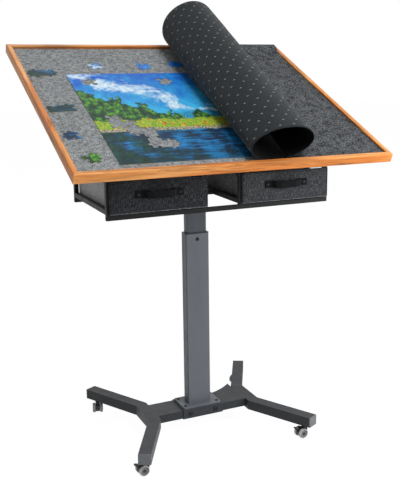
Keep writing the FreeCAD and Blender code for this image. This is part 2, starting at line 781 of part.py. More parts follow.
def board_slab(margin, z0, z1):
    """A flat plate that stays a margin inside the rim's outer faces."""
    half = board_width / 2 - margin
    return block(-half, half, board_front_y + margin, board_back_y - margin, z0, z1)


def make_battens():
    """Two wooden battens under the panel, between the front and back rails."""
    out = []
    for side in (-1, 1):
        x = side * batten_spacing / 2
        batten = block(x - batten_width / 2, x + batten_width / 2, board_front_y + rim_width + seat_gap,
                       board_back_y - rim_width - seat_gap, pivot_drop, panel_under)
        for bx, by in bracket_screw_places():
            if bx * side > 0:
                batten = batten.cut(rod(screw_radius - 0.8, V(bx, by, pivot_drop - 1), AXIS_Z, 9.5))
        out.append(on_board(batten))
    return out


def roll_section(y, centre, half_w, half_h, end_angle):
    """The mat's outline across its length: the flat part and one loose turn that ends at end_angle."""
    base = felt_height
    right = board_width / 2 - rim_width - mat_right_gap
    mid = base + half_h
    span = 270.0 - (end_angle % 360.0 if end_angle >= 0 else end_angle)

    def at(angle, inset):
        return V(centre + (half_w - inset) * math.cos(deg(angle)), y,
                 mid + (half_h - inset) * math.sin(deg(angle)))
    steps = 12
    angles = [-90.0 - span * i / steps for i in range(steps + 1)]
    outer = Part.BSplineCurve()
    outer.interpolate([at(a, 0.0) for a in angles])
    inner = Part.BSplineCurve()
    inner.interpolate([at(a, mat_thick) for a in angles][::-1])
    o0, o1 = at(angles[0], 0.0), at(angles[-1], 0.0)
    i0, i1 = at(angles[-1], mat_thick), at(angles[0], mat_thick)
    far_low, far_top = V(right, y, base), V(right, y, base + mat_thick)
    return Part.Wire([Part.makeLine(far_low, o0), outer.toShape(), Part.makeLine(o1, i0), inner.toShape(),
                      Part.makeLine(i1, far_top), Part.makeLine(far_top, far_low)])


def make_mat():
    """Cover mat lofted from its front section to its back section."""
    front = board_front_y + rim_width + mat_end_gap
    back = board_back_y - rim_width - mat_end_gap
    a = roll_section(front, roll_front_x, roll_front_half_width, roll_front_half_height, roll_front_end)
    b = roll_section(back, roll_back_x, roll_back_half_width, roll_back_half_height, roll_back_end)
    return Part.makeLoft([a, b], True, True)


# ---------------------------------------------------------------- puzzle
def tab_sign(column, row, across):
    """Which way the tab between two pieces points, as an even mix; the puzzle's own edge is straight."""
    if (row % piece_rows if across else column % piece_columns) == 0:
        return 0
    return 1 if (column * 7 + row * 5 + (3 if across else 0)) % 4 < 2 else -1


def piece_side(start, end, sign):
    """One side of a piece: straight for sign 0, else with a round tab to its left (+) or right (-)."""
    if sign == 0:
        return [Part.makeLine(start, end)]
    along = (end - start).normalize()
    left = V(-along.y, along.x, 0) * sign
    middle = (start + end) * 0.5
    half = math.sqrt(knob_size ** 2 - knob_neck ** 2)
    a, b = middle - along * half, middle + along * half
    tip = middle + left * (knob_neck + knob_size)
    return [Part.makeLine(start, a), Part.Arc(a, tip, b).toShape(), Part.makeLine(b, end)]


def piece_face(x, y, columns, rows, signs):
    """A block of joined pieces as a face at z = 0; signs(i, j, across) gives each inner or outer tab."""
    edges = []
    for i in range(columns):
        edges += piece_side(V(x + i * piece_width, y, 0), V(x + (i + 1) * piece_width, y, 0),
                            -signs(i, 0, True))
    for j in range(rows):
        edges += piece_side(V(x + columns * piece_width, y + j * piece_height, 0),
                            V(x + columns * piece_width, y + (j + 1) * piece_height, 0),
                            -signs(columns, j, False))
    for i in reversed(range(columns)):
        edges += piece_side(V(x + (i + 1) * piece_width, y + rows * piece_height, 0),
                            V(x + i * piece_width, y + rows * piece_height, 0), signs(i, rows, True))
    for j in reversed(range(rows)):
        edges += piece_side(V(x, y + (j + 1) * piece_height, 0), V(x, y + j * piece_height, 0),
                            signs(0, j, False))
    return Part.Face(Part.Wire(edges))


# empty places in the assembled part: first column, first row, columns, rows
puzzle_gaps = [(1, 12, 1, 1), (7, 12, 1, 1), (1, 5, 1, 2), (2, 4, 1, 2), (3, 2, 1, 3), (4, 2, 1, 1)]


def make_puzzle():
    """Assembled part of the puzzle, with places still empty."""
    x0, y0 = puzzle_left, board_front_y + puzzle_front
    width, height = piece_columns * piece_width, piece_rows * piece_height
    sheet = block(x0, x0 + width, y0, y0 + height, felt_height, felt_height + piece_thick)
    for column, row, columns, rows in puzzle_gaps:
        face = piece_face(x0 + column * piece_width, y0 + row * piece_height, columns, rows,
                          lambda i, j, across, c=column, r=row: tab_sign(c + i, r + j, across))
        face.translate(V(0, 0, felt_height - 1))
        sheet = sheet.cut(face.extrude(V(0, 0, piece_thick + 2)))
    return sheet


# loose pieces: middle from the board's left edge and from its front edge or the puzzle's back
# edge, turn, columns, rows
beside_puzzle = [(62.0, 346.0, 3.0, 2, 1), (68.0, 83.0, 33.0, 1, 1), (62.0, 568.0, 4.0, 2, 1),
                 (51.0, 196.0, 8.0, 1, 1)]
behind_puzzle = [(228.0, 53.2, 20.0, 1, 1), (375.0, 51.2, -14.0, 1, 1), (484.0, 62.2, 40.0, 1, 1)]


def make_loose_pieces():
    out = []
    behind = [(x, puzzle_back + y, turn, columns, rows) for x, y, turn, columns, rows in behind_puzzle]
    for index, (x, y, turn, columns, rows) in enumerate(beside_puzzle + behind):
        face = piece_face(-columns * piece_width / 2, -rows * piece_height / 2, columns, rows,
                          lambda i, j, across, k=index: tab_sign(i + k, j + 2 * k, across))
        solid = face.extrude(V(0, 0, piece_thick))
        solid.rotate(V(0, 0, 0), AXIS_Z, turn)
        solid.translate(V(x - board_width / 2, board_front_y + y, felt_height))
        out.append(on_board(solid))
    return out


# ---------------------------------------------------------------- rack
def bay_edges():
    """Outer and inner x of each bay, left then right."""
    return [(-rack_width / 2, -bay_gap / 2), (bay_gap / 2, rack_width / 2)]


def post_spans():
    """The x spans of the four post columns."""
    out = []
    for x0, x1 in bay_edges():
        out += [(x0, x0 + rack_tube), (x1 - rack_tube, x1)]
    return out


def post_rows():
    return [(rack_front, rack_front + rack_tube), (rack_back - rack_tube, rack_back)]


def make_cross_rails():
    half = rack_width / 2
    levels = [(rack_bottom, rack_rail_top), (rack_upper, rack_top)]
    return [square_tube(-half, half, y0, y1, z0, z1, rack_wall, "x")
            for y0, y1 in post_rows() for z0, z1 in levels]


def make_posts():
    return [square_tube(x0, x1, y0, y1, rack_rail_top, rack_upper, rack_wall, "z")
            for x0, x1 in post_spans() for y0, y1 in post_rows()]


def make_side_rails():
    y0, y1 = rack_front + rack_tube, rack_back - rack_tube
    levels = [(side_rail_low, side_rail_low + side_rail_height), (rack_upper, rack_top)]
    return [square_tube(x0, x1, y0, y1, z0, z1, rack_wall, "y")
            for x0, x1 in post_spans() for z0, z1 in levels]


def runner_low():
    return side_rail_low - 2.0


def make_runners():
    """L-section runners inside the lower side rails."""
    out = []
    y0, y1 = rack_front + rack_tube, rack_back - rack_tube
    for x0, x1 in bay_edges():
        for wall_x, way in ((x0 + rack_tube, 1), (x1 - rack_tube, -1)):
            low, top = runner_low(), side_rail_low + side_rail_height
            outline = [(0, low), (runner_width, low), (runner_width, low + runner_thick),
                       (runner_thick, low + runner_thick), (runner_thick, top), (0, top)]
            out.append(plate(outline, lambda a, b, w=wall_x, s=way: V(w + s * a, y0, b), V(0, y1 - y0, 0)))
    return out


def socket_bolt_places():
    """Bolt places x, z; they pass the push rod on both sides."""
    middle = (side_rail_low + rack_upper) / 2
    return [(side * inner_width * 0.3, middle) for side in (-1, 1)]


def make_rack_socket():
    """Welded socket that clamps on the inner tube, with plates to the bays' inner rails."""
    w, d = inner_width + 2 * seat_gap, inner_depth + 2 * seat_gap
    low, high = side_rail_low + 1.0, rack_top
    half_w, half_d = w / 2 + socket_wall, d / 2 + socket_wall
    shape = block(-half_w, half_w, -half_d, half_d, low, high)
    for z0 in (low, high - bridge_thick):
        shape = shape.fuse(block(-bay_gap / 2, bay_gap / 2, -bridge_depth / 2, bridge_depth / 2,
                                 z0, z0 + bridge_thick))
    shape = shape.cut(rounded(block(-w / 2, w / 2, -d / 2, d / 2, low - 1, high + 1), inner_round, AXIS_Z))
    for x, z in socket_bolt_places():
        shape = shape.cut(rod(socket_bolt_radius, V(x, -2 * d, z), AXIS_Y, 4 * d))
    return shape


def make_socket_bolts():
    """Hex bolts and nuts through the socket and the inner tube."""
    out = []
    y0 = inner_depth / 2 + seat_gap + socket_wall
    for x, z in socket_bolt_places():
        bolt = rod(socket_bolt_radius, V(x, -y0, z), AXIS_Y, 2 * y0 + 8.0)
        out.append(bolt.fuse(hexagon(13.0, V(x, -y0 - 5.3, z), AXIS_Y, 5.3)))
        nut = hexagon(13.0, V(x, y0, z), AXIS_Y, 6.5)
        out.append(nut.cut(rod(socket_bolt_radius, V(x, y0 - 1, z), AXIS_Y, 9)))
    return out


# ---------------------------------------------------------------- drawers
def drawer_box(bay):
    """Outer corners of a drawer's box: x0, x1, y0, y1."""
    inset = rack_tube + runner_thick + drawer_side_clearance
    front = rack_front - drawer_front_gap - drawer_wall
    return bay[0] + inset, bay[1] - inset, front, rack_back - drawer_back_gap


def front_span(bay):
    """The front panel laps half of the left post and nearly all of the right one."""
    return bay[0] + drawer_post_show, bay[1] - drawer_front_reveal


def rivet_places(bay):
    middle = sum(front_span(bay)) / 2
    return [middle - handle_length / 2 + 9.0, middle + handle_length / 2 - 9.0]


def make_drawer_body(bay):
    """Open fabric box over stiff walls, with a taller and wider front that stops against the post."""
    x0, x1, y0, y1 = drawer_box(bay)
    left, right = front_span(bay)
    t = drawer_wall
    box = block(x0, x1, y0, y1, drawer_bottom, drawer_side_top)
    corners = [e for e in box.Edges if e.BoundBox.ZLength > t and e.BoundBox.YMin > y1 - t]
    shape = box.makeFillet(drawer_round, corners)
    front = rounded(block(left, right, y0, y0 + t, drawer_bottom, drawer_front_top), drawer_round, AXIS_Y)
    shape = shape.fuse(front).removeSplitter()
    shape = shape.cut(block(x0 + t, x1 - t, y0 + t, y1 - t, drawer_bottom + t, drawer_front_top + 1))
    for x in rivet_places(bay):
        shape = shape.cut(rod(rivet_radius, V(x, y0 - 1, handle_centre), AXIS_Y, t + 2))
    return shape


def make_base_board(bay):
    """Loose stiffener on the drawer's floor."""
    x0, x1, y0, y1 = drawer_box(bay)
    t = drawer_wall + seat_gap
    z0 = drawer_bottom + drawer_wall
    return block(x0 + t, x1 - t, y0 + t, y1 - t, z0, z0 + base_board_thick)


def make_handle(bay):
    """Strap handle bowed off the front, with a rivet at each end."""
    y0 = drawer_box(bay)[2]
    middle = sum(front_span(bay)) / 2
    half = handle_length / 2
    rise = handle_rise - handle_thick / 2
    flat = -handle_thick / 2
    points = [(-half, flat), (-half + 20.0, flat), (-half + 32.0, -rise * 0.75), (-half + 46.0, -rise),
              (half - 46.0, -rise), (half - 32.0, -rise * 0.75), (half - 20.0, flat), (half, flat)]
    low = handle_centre - handle_height / 2
    strap = plate(strip_outline(points, handle_thick),
                  lambda a, b: V(middle + a, y0 + b, low), V(0, 0, handle_height))
    rivets = []
    for x in rivet_places(bay):
        outside = V(x, y0 - handle_thick, handle_centre)
        strap = strap.cut(rod(rivet_radius, outside - AXIS_Y, AXIS_Y, handle_thick + 2))
        shank = rod(rivet_radius, outside, AXIS_Y, handle_thick + drawer_wall)
        rivets.append(shank.fuse(Part.makeCone(rivet_head, rivet_radius, 1.6, outside, -AXIS_Y)))
    return strap, rivets


# ---------------------------------------------------------------- casters
# each caster: side, end, direction of its trail in plan (degrees), with or without a brake
casters = {"front_left": (-1, -1, 187.0, True), "front_right": (1, -1, 187.0, True),
           "back_left": (-1, 1, 252.0, False), "back_right": (1, 1, 187.0, False)}


def set_caster(shape, side, end, turn):
    """Take a piece from the caster's frame, stem on the Z axis and trail along X, to its place."""
    x, y = arm_point(side, end, stem_inset)
    shape = shape.copy()
    shape.rotate(V(0, 0, 0), AXIS_Z, turn)
    shape.translate(V(x, y, 0))
    return shape


def brake_pin():
    return trail + brake_pin_reach, wheel_radius + web_radius - 1.5


def boss_top():
    return caster_height - collar_thick


def boss_low():
    """The stem's boss starts just above the wheels."""
    return 2 * wheel_radius + boss_clearance


def stem_low():
    """The journal ends between the wheels, above the axle."""
    return boss_top() - journal_length


def make_stem():
    """Fixed stem: thread up into the leg, collar under it and journal down in the housing."""
    collar = hexagon(2 * boss_radius, V(0, 0, boss_top()), AXIS_Z, collar_thick)
    shank = rod(stem_radius, V(0, 0, stem_low()), AXIS_Z, caster_height + stem_thread - stem_low())
    nut = hexagon(2 * boss_radius - 2, V(0, 0, caster_height + leg_wall), AXIS_Z, stem_nut)
    return collar.fuse(shank).fuse(nut)


def make_housing(braked):
    """Web between the wheels with the stem's boss on top."""
    half = web_thick / 2
    web = rod(web_radius, V(trail, -half, wheel_radius), AXIS_Y, web_thick)
    neck = block(-boss_radius * 0.9, trail + 3.0, -half, half, wheel_radius + 4.0, boss_low() + 0.5)
    boss = rod(boss_radius, V(0, 0, boss_low()), AXIS_Z, boss_top() - boss_low() - seat_gap)
    shape = web.fuse(neck).fuse(boss)
    px, pz = brake_pin()
    if braked:
        shape = shape.fuse(rod(brake_lug_radius, V(px, -half, pz), AXIS_Y, web_thick))
    shape = shape.cut(rod(stem_radius + shaft_clearance, V(0, 0, stem_low() - seat_gap),
                          AXIS_Z, caster_height))
    shape = shape.cut(rod(axle_radius, V(trail, -half - 1, wheel_radius), AXIS_Y, web_thick + 2))
    if braked:
        slot = brake_slot_half() + seat_gap
        shape = shape.cut(block(px - 7.0, px + 20.0, -slot, slot, pz - 6.0, pz + 12.0))
        shape = shape.cut(rod(brake_pin_radius + shaft_clearance, V(px, -half - 1, pz),
                              AXIS_Y, web_thick + 2))
    return shape


def make_axle():
    """Steel axle pressed through the housing's web."""
    length = web_thick + 2 * (wheel_width - hub_skin)
    return rod(axle_radius, V(trail, -length / 2, wheel_radius), AXIS_Y, length)


def brake_slot_half():
    return web_thick * brake_slot_share


def make_brake():
    """Foot lever: a narrow neck with moulded trunnions and a wide pad outside the wheels."""
    px, pz = brake_pin()
    half = brake_slot_half()
    low, high = pz - 0.5, pz - 0.5 + brake_pad_thick
    neck = rod(brake_neck_radius, V(px, -half, pz), AXIS_Y, 2 * half)
    neck = neck.fuse(block(px, brake_reach - 0.8 * brake_pad_length, -half, half, low - 0.5, high))
    pad = block(brake_reach - brake_pad_length, brake_reach, -brake_pad_half_width, brake_pad_half_width,
                low, high)
    trunnions = rod(brake_pin_radius, V(px, -web_thick / 2, pz), AXIS_Y, web_thick)
    pedal = neck.fuse([rounded(pad, 1.5, AXIS_Z), trunnions])
    pedal.rotate(V(px, 0, pz), AXIS_Y, -brake_up)
    return pedal


def make_wheel(side):
    """One wheel turned about the axle: rounded tread, dished hub and a closed outer boss."""
    y0 = web_thick / 2 + wheel_gap
    y1 = y0 + wheel_width
    r = wheel_radius
    hub = r * hub_share
    bore = axle_radius + shaft_clearance
    edge = tread_edge
    profile = [(bore, y0), (r - edge, y0), (r, y0 + edge), (r, y1 - edge), (r - edge, y1),
               (hub + 1.0, y1), (hub, y1 - hub_dish), (r * 0.3, y1 - hub_dish), (r * 0.25, y1),
               (0.0, y1), (0.0, y1 - hub_skin), (bore, y1 - hub_skin)]
    corners = [V(a, b, 0) for a, b in profile]
    face = Part.Face(Part.makePolygon(corners + corners[:1]))
    wheel = face.revolve(V(0, 0, 0), AXIS_Y, 360)
    if side < 0:
        wheel.rotate(V(0, 0, 0), AXIS_Z, 180)
    wheel.translate(V(trail, 0, wheel_radius))
    return wheel


# ---------------------------------------------------------------- write every sub-part
def write_foot():
    save("left_leg", make_leg(-1).fuse(make_stub(-1)))
    save("right_leg", make_leg(1).fuse([make_stub(1), make_gusset()]))
    save("centre_sleeve", make_sleeve())
    save("sleeve_bolts", *make_sleeve_bolts())
    save("base_screws", *make_base_screws())
    save("arm_end_caps", *make_end_caps())
    save("caster_stems", *[set_caster(make_stem(), side, end, 0) for side, end, _, _ in casters.values()])


def write_column():
    save("outer_tube", make_outer_tube().fuse(make_flange()))
    save("top_bush", make_top_bush())
    save("gas_rod", make_gas_rod())
    save("inner_tube", make_inner_tube())
    save("lower_bush", make_lower_bush())
    save("gas_cylinder", make_gas_cylinder())
    save("anchor_pin", rod(anchor_radius, V(0, -inner_depth / 2, anchor_height()), AXIS_Y, inner_depth))
    save("push_rod", make_push_rod())


def write_head():
    save("head_bracket", make_head())
    save("pivot_bolt", make_pivot_bolt())
    save("clamp_bolt", cross_bolt(clamp_radius, clamp_height, knob_bolt_end()))
    save("clamp_knob", make_clamp_knob())
    pin_end = V(-head_width / 2, -lever_pivot_back, lever_height)
    save("lever_pin", rod(lever_pin_radius, pin_end, AXIS_X, head_width))
    save("release_lever", make_lever())
    save("lever_grip", make_grip())


def write_board():
    for name, rails in make_rim().items():
        save(name, *[on_board(rail) for rail in rails])
    margin = rim_width - groove_depth + seat_gap
    save("board_panel", on_board(board_slab(margin, panel_under, panel_under + panel_thick)))
    save("felt_surface", on_board(board_slab(rim_width + seat_gap, felt_height - felt_thick, felt_height)))
    save("battens", *make_battens())
    save("tilt_bracket", on_board(make_tilt_bracket()))
    save("bracket_screws", *make_bracket_screws())
    save("cover_mat", on_board(make_mat()))
    save("puzzle_sheet", on_board(make_puzzle()))
    save("loose_pieces", *make_loose_pieces())


def write_rack():
    save("rack_cross_rails", *make_cross_rails())
    save("rack_posts", *make_posts())
    save("rack_side_rails", *make_side_rails())
    save("rack_runners", *make_runners())
    save("rack_socket", make_rack_socket())
    save("socket_bolts", *make_socket_bolts())
    for name, bay in zip(("left", "right"), bay_edges()):
        save("drawer_%s_body" % name, make_drawer_body(bay))
        save("drawer_%s_base" % name, make_base_board(bay))
        strap, rivets = make_handle(bay)
        save("drawer_%s_strap" % name, strap)
        save("drawer_%s_rivets" % name, *rivets)


def write_casters():
    for name, (side, end, turn, braked) in casters.items():
        save("caster_%s_housing" % name, set_caster(make_housing(braked), side, end, turn))
        save("caster_%s_axle" % name, set_caster(make_axle(), side, end, turn))
        save("caster_%s_wheels" % name, *[set_caster(make_wheel(w), side, end, turn) for w in (-1, 1)])
        if braked:
            save("caster_%s_brake" % name, set_caster(make_brake(), side, end, turn))


os.makedirs("parts", exist_ok=True)
write_foot()
write_column()
write_head()
write_board()
write_rack()
write_casters()
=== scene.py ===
import bpy
import json
import math
import random
from functools import partial
from mathutils import Matrix, Vector, noise


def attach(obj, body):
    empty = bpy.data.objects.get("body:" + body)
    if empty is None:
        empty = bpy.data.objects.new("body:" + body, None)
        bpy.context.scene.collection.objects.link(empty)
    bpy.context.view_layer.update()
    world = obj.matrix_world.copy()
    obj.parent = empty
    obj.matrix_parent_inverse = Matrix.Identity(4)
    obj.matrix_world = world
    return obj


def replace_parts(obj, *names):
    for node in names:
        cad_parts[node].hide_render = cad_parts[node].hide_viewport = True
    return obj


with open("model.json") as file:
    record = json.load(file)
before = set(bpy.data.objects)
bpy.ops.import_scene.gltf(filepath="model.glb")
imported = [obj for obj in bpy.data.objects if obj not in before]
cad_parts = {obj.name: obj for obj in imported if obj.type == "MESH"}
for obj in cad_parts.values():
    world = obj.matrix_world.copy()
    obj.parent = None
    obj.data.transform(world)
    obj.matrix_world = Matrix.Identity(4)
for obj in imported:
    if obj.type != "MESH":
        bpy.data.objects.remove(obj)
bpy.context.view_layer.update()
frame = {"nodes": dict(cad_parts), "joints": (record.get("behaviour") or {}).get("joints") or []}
nodes = frame["nodes"]
print("frame loaded, nodes:", len(nodes))

# the board's own frame: origin at the tilt bolt, y towards the back, z out of the felt
board = {"pivotHeight": 0.963, "tilt": 23.0, "frontEdge": -0.36505, "backEdge": 0.39095, "halfWidth": 0.45,
         "rimWidth": 0.015, "feltTop": 0.035}
boardTilt = Matrix.Rotation(math.radians(board["tilt"]), 4, "X")
boardPlace = Matrix.Translation((0, 0, board["pivotHeight"])) @ boardTilt


# materials
def tone(red, green, blue):
    # screen colour 0-255 to the linear colour that shaders take
    linear = [(c / 255 / 12.92) if c <= 10 else ((c / 255 + 0.055) / 1.055) ** 2.4 for c in (red, green, blue)]
    return (*linear, 1.0)


def scaled(colour, factor, lift=0.0):
    return tuple(min(c * factor + lift, 1.0) for c in colour[:3]) + (1.0,)


finishes = {}
making = {}  # the shader tree that the next calls wire


def newFinish(name, colour, roughness, metallic=0.0, **sockets):
    material = bpy.data.materials.new(name)
    material.use_nodes = True
    material.diffuse_color = colour
    making["tree"] = material.node_tree
    making["shader"] = shader = material.node_tree.nodes["Principled BSDF"]
    shader.inputs["Base Color"].default_value = colour
    shader.inputs["Roughness"].default_value = roughness
    shader.inputs["Metallic"].default_value = metallic
    for key, value in sockets.items():
        shader.inputs[key.replace("_", " ")].default_value = value
    finishes[name] = material


def put(kind, inputs=None, **settings):
    made = making["tree"].nodes.new("ShaderNode" + kind)
    for key, value in settings.items():
        setattr(made, key, value)
    for key, value in (inputs or {}).items():
        if isinstance(value, bpy.types.NodeSocket):
            making["tree"].links.new(value, made.inputs[key])
        else:
            made.inputs[key].default_value = value
    return made.outputs


def wire(socketName, value):
    making["tree"].links.new(value, making["shader"].inputs[socketName])


def mapped(place, **facts):
    inputs = {key.capitalize(): value for key, value in facts.items()}
    return put("Mapping", {"Vector": place, **inputs})["Vector"]


def objectPlace(scale=(1, 1, 1), turn=None, shift=(0, 0, 0)):
    place = put("TexCoord")["Object"]
    return mapped(mapped(place, rotation=turn) if turn else place, scale=scale, location=shift)


def flatPlace(scale=(1, 1, 1), shift=(0, 0, 0)):
    return mapped(put("TexCoord")["UV"], scale=scale, location=shift)


def cloudy(place, scale, detail=4.0, roughness=0.55, distortion=0.0):
    return put("TexNoise", {"Vector": place, "Scale": scale, "Detail": detail, "Roughness": roughness,
                            "Distortion": distortion})["Fac"]


def cells(place, scale, output="Distance"):
    return put("TexVoronoi", {"Vector": place, "Scale": scale})[output]


def bands(place, scale, way, **facts):
    inputs = {key.replace("_", " "): value for key, value in facts.items()}
    return put("TexWave", {"Vector": place, "Scale": scale, **inputs}, bands_direction=way)["Fac"]


def calc(operation, first, second=0.0):
    return put("Math", {0: first, 1: second}, operation=operation)[0]


plus, minus, times = (partial(calc, operation) for operation in ("ADD", "SUBTRACT", "MULTIPLY"))


def spread(value, low, high, toLow=0.0, toHigh=1.0, soft=False):
    inputs = {"Value": value, "From Min": low, "From Max": high, "To Min": toLow, "To Max": toHigh}
    return put("MapRange", inputs, interpolation_type="SMOOTHSTEP" if soft else "LINEAR")["Result"]


def mixed(amount, first, second):
    return put("Mix", {0: amount, 6: first, 7: second}, data_type="RGBA")[2]


def over(ground, coat, mask, low, high, most=1.0, soft=False):
    # the coat covers the ground where the mask is high
    return mixed(spread(mask, low, high, 0.0, most, soft), ground, coat)


def relief(height, strength, distance):
    wire("Normal", put("Bump", {"Height": height, "Strength": strength, "Distance": distance})["Normal"])


# light, middle and dark tone, and gloss
rimWood = (tone(246, 178, 108), tone(210, 124, 52), tone(112, 62, 28), 0.42)
woods = {"rimAlong": ("x", *rimWood), "rimUp": ("y", *rimWood),
         "pine": ("y", tone(214, 176, 128), tone(190, 148, 100), tone(140, 98, 60), 0.6),
         "panel": ("x", tone(148, 112, 78), tone(126, 92, 62), tone(92, 64, 42), 0.7)}
# scale of the pattern along the grain and across it
grain = {"fibres": (5.0, 260.0), "figure": (1.6, 22.0)}


def makeWood(name, way, light, middle, dark, gloss):
    newFinish(name, middle, gloss, Coat_Weight=0.05, Coat_Roughness=0.3, Specular_IOR_Level=0.16)
    turn = (math.radians(-board["tilt"]), 0, 0)
    fine, broad = [[along if axis == way else across for axis in "xyz"]
                   for along, across in (grain["fibres"], grain["figure"])]
    fibres = cloudy(objectPlace(fine, turn), 1.0, 3.0, 0.6)
    figure = cloudy(objectPlace(broad, turn, (3.1, 1.7, 0.4)), 1.0, 5.0, 0.6, 1.4)
    streaks = cloudy(objectPlace([s * 4 for s in broad], turn), 1.0, 4.0, 0.65, 0.6)
    slow = cloudy(objectPlace([s * 1.8 for s in broad], turn, (0.6, 4.2, 2.3)), 1.0, 2.0, 0.5)
    # figure and slow are wood figure, set off so their darker patches also fall on the left of the front rail:
    # partly painted shade
    colour = over(light, middle, figure, 0.36, 0.62, soft=True)
    colour = over(colour, dark, slow, 0.46, 0.68, 0.5, soft=True)
    colour = over(colour, dark, streaks, 0.5, 0.72, 0.8)
    wire("Base Color", over(colour, dark, fibres, 0.45, 0.75, 0.4))
    wire("Roughness", spread(streaks, 0.3, 0.8, gloss - 0.06, gloss + 0.16))
    relief(plus(fibres, streaks), 0.25, 0.0006)


felt = {"pale": tone(218, 222, 223), "grey": tone(110, 115, 118), "dark": tone(26, 29, 32), "fleck": 420.0}
# painted shade: the mat's cut edge is painted near black, darker than its felt
shadedEdgeFelt = {"pale": tone(40, 42, 45), "grey": tone(20, 22, 24), "dark": tone(7, 8, 9), "fleck": 700.0}
# shade: between these lengths of the sheet, where it turns in on itself, the felt is painted dark: painted shade
# inside the roll
matFelt = {"pale": tone(142, 145, 149), "grey": tone(24, 27, 31), "dark": tone(3, 4, 6), "fleck": 190.0,
           "shade": (0.235, 0.29, tone(6, 7, 8)), "sheen": 0.02, "shine": 0.03}


def makeFelt(name, pale, grey, dark, fleck, shade=None, sheen=0.12, shine=0.12):
    newFinish(name, grey, 0.95, Sheen_Weight=sheen, Sheen_Roughness=0.5, Specular_IOR_Level=shine)
    place = flatPlace() if shade else objectPlace()
    flecks = cloudy(mapped(place, scale=(1.0, 1.25, 1.0), rotation=(0, 0, 0.7)), fleck, 2.0, 0.75)
    clumps = cloudy(place, fleck * 0.22, 4.0, 0.7, 0.4)
    broad = cloudy(place, 7.0, 3.0, 0.5)
    colour = mixed(0.3, over(dark, pale, flecks, 0.36, 0.62), grey)
    colour = over(colour, dark, clumps, 0.44, 0.62, 0.6)
    colour = over(colour, grey, broad, 0.35, 0.7, 0.2)
    # painted shade: the felt darkens to the deep tone inside the roll, by its length along the sheet
    if shade:
        begin, end, deep = shade
        across = put("SeparateXYZ", {"Vector": place})["X"]
        colour = over(colour, deep, across, begin, end, 0.97, soft=True)
    wire("Base Color", colour)
    relief(plus(flecks, clumps), 0.7, 0.0012)


backing = {"ground": tone(47, 52, 55), "deep": tone(24, 28, 31), "grit": tone(96, 100, 102), "weave": 620.0}


def makeMatBacking(name, ground, deep, grit, weave):
    # knitted underside: fine loops in rows
    newFinish(name, ground, 0.85, Sheen_Weight=0.1, Sheen_Roughness=0.45, Specular_IOR_Level=0.2)
    place = flatPlace()
    loops = cells(mapped(place, scale=(1.0, 0.6, 1.0)), weave)
    broad = cloudy(place, 16.0, 4.0, 0.6)
    grains = cloudy(place, 900.0, 2.0, 0.7)
    colour = over(ground, deep, loops, 0.1, 0.6)
    colour = over(colour, deep, broad, 0.4, 0.75, 0.45)
    wire("Base Color", over(colour, grit, grains, 0.55, 0.8, 0.3))
    relief(minus(grains, loops), 0.5, 0.0006)


# pale yarn, ground and dark yarn of each cloth
cloths = {"drawerFabric": (tone(98, 102, 107), tone(36, 39, 44), tone(10, 11, 14)),
          # painted light: the right front's cloth is a lighter copy of the front cloth
          "drawerRight": (tone(122, 125, 129), tone(58, 61, 65), tone(22, 24, 27)),
          "drawerSide": (tone(232, 234, 234), tone(214, 216, 216), tone(122, 125, 127)),
          "drawerShaded": (tone(170, 172, 173), tone(112, 115, 117), tone(52, 55, 57)),
          "hem": (tone(168, 172, 176), tone(120, 124, 128), tone(64, 68, 72))}
yarn = {"threads": 57.5, "slubs": (480.0, 90.0, 1.0), "slubsAcross": (110.0, 460.0, 1.0)}


def makeSlubFabric(name, pale, ground, dark):
    # plain weave in grey and black yarn, with slubs that run up the cloth
    newFinish(name, ground, 0.9, Sheen_Weight=0.08, Sheen_Roughness=0.5, Specular_IOR_Level=0.15)
    weave = times(*[bands(flatPlace(), yarn["threads"], way, Distortion=1.2, Detail=2.0, Detail_Scale=6.0)
                    for way in "XY"])
    slubs = cloudy(flatPlace(yarn["slubs"]), 1.0, 3.0, 0.6)
    slubsAcross = cloudy(flatPlace(yarn["slubsAcross"], (4.0, 2.0, 0.0)), 1.0, 3.0, 0.6)
    broad = cloudy(flatPlace(), 22.0, 4.0, 0.6)
    colour = over(dark, pale, slubs, 0.4, 0.66)
    colour = mixed(spread(slubsAcross, 0.4, 0.62, 0.75, 0.0), colour, dark)
    colour = mixed(0.35, colour, ground)
    wire("Base Color", over(colour, dark, broad, 0.45, 0.75, 0.4))
    relief(plus(weave, slubs), 0.55, 0.0006)


# painted shade: the strap is painted near black, darker than the front's cloth, for the shade on and under it
shadedWebbing = {"colour": tone(13, 14, 16), "rib": tone(34, 36, 39)}


def makeWebbing(name, colour, rib):
    newFinish(name, colour, 0.85, Sheen_Weight=0.03, Specular_IOR_Level=0.12)
    ribs = bands(flatPlace(), 110.0, "X", Distortion=0.6)
    grit = cloudy(flatPlace(), 1400.0, 2.0, 0.7)
    wire("Base Color", over(colour, rib, times(ribs, grit), 0.2, 0.7))
    relief(plus(ribs, grit), 0.5, 0.0005)


# colour, roughness and how far bare edges show
paints = {"columnPaint": (tone(98, 102, 108), 0.42, 0.5), "innerPaint": (tone(72, 76, 82), 0.4, 0.5),
          "basePaint": (tone(44, 47, 51), 0.45, 0.5), "rackPaint": (tone(12, 13, 15), 0.5, 0.35)}


def makePowderCoat(name, colour, roughness, wear):
    newFinish(name, colour, roughness, Specular_IOR_Level=0.16)
    place = objectPlace()
    peel = cloudy(place, 900.0, 2.0, 0.6)
    mottle = cloudy(place, 26.0, 4.0, 0.55)
    made = over(colour, scaled(colour, 0.86), mottle, 0.35, 0.7, 0.6)
    edge = put("NewGeometry")["Pointiness"]
    wire("Base Color", over(made, scaled(colour, 1.6, 0.02), edge, 0.54, 0.66, wear))
    wire("Roughness", spread(plus(peel, mottle), 0.7, 1.4, roughness - 0.08, roughness + 0.1))
    relief(peel, 0.22, 0.0004)


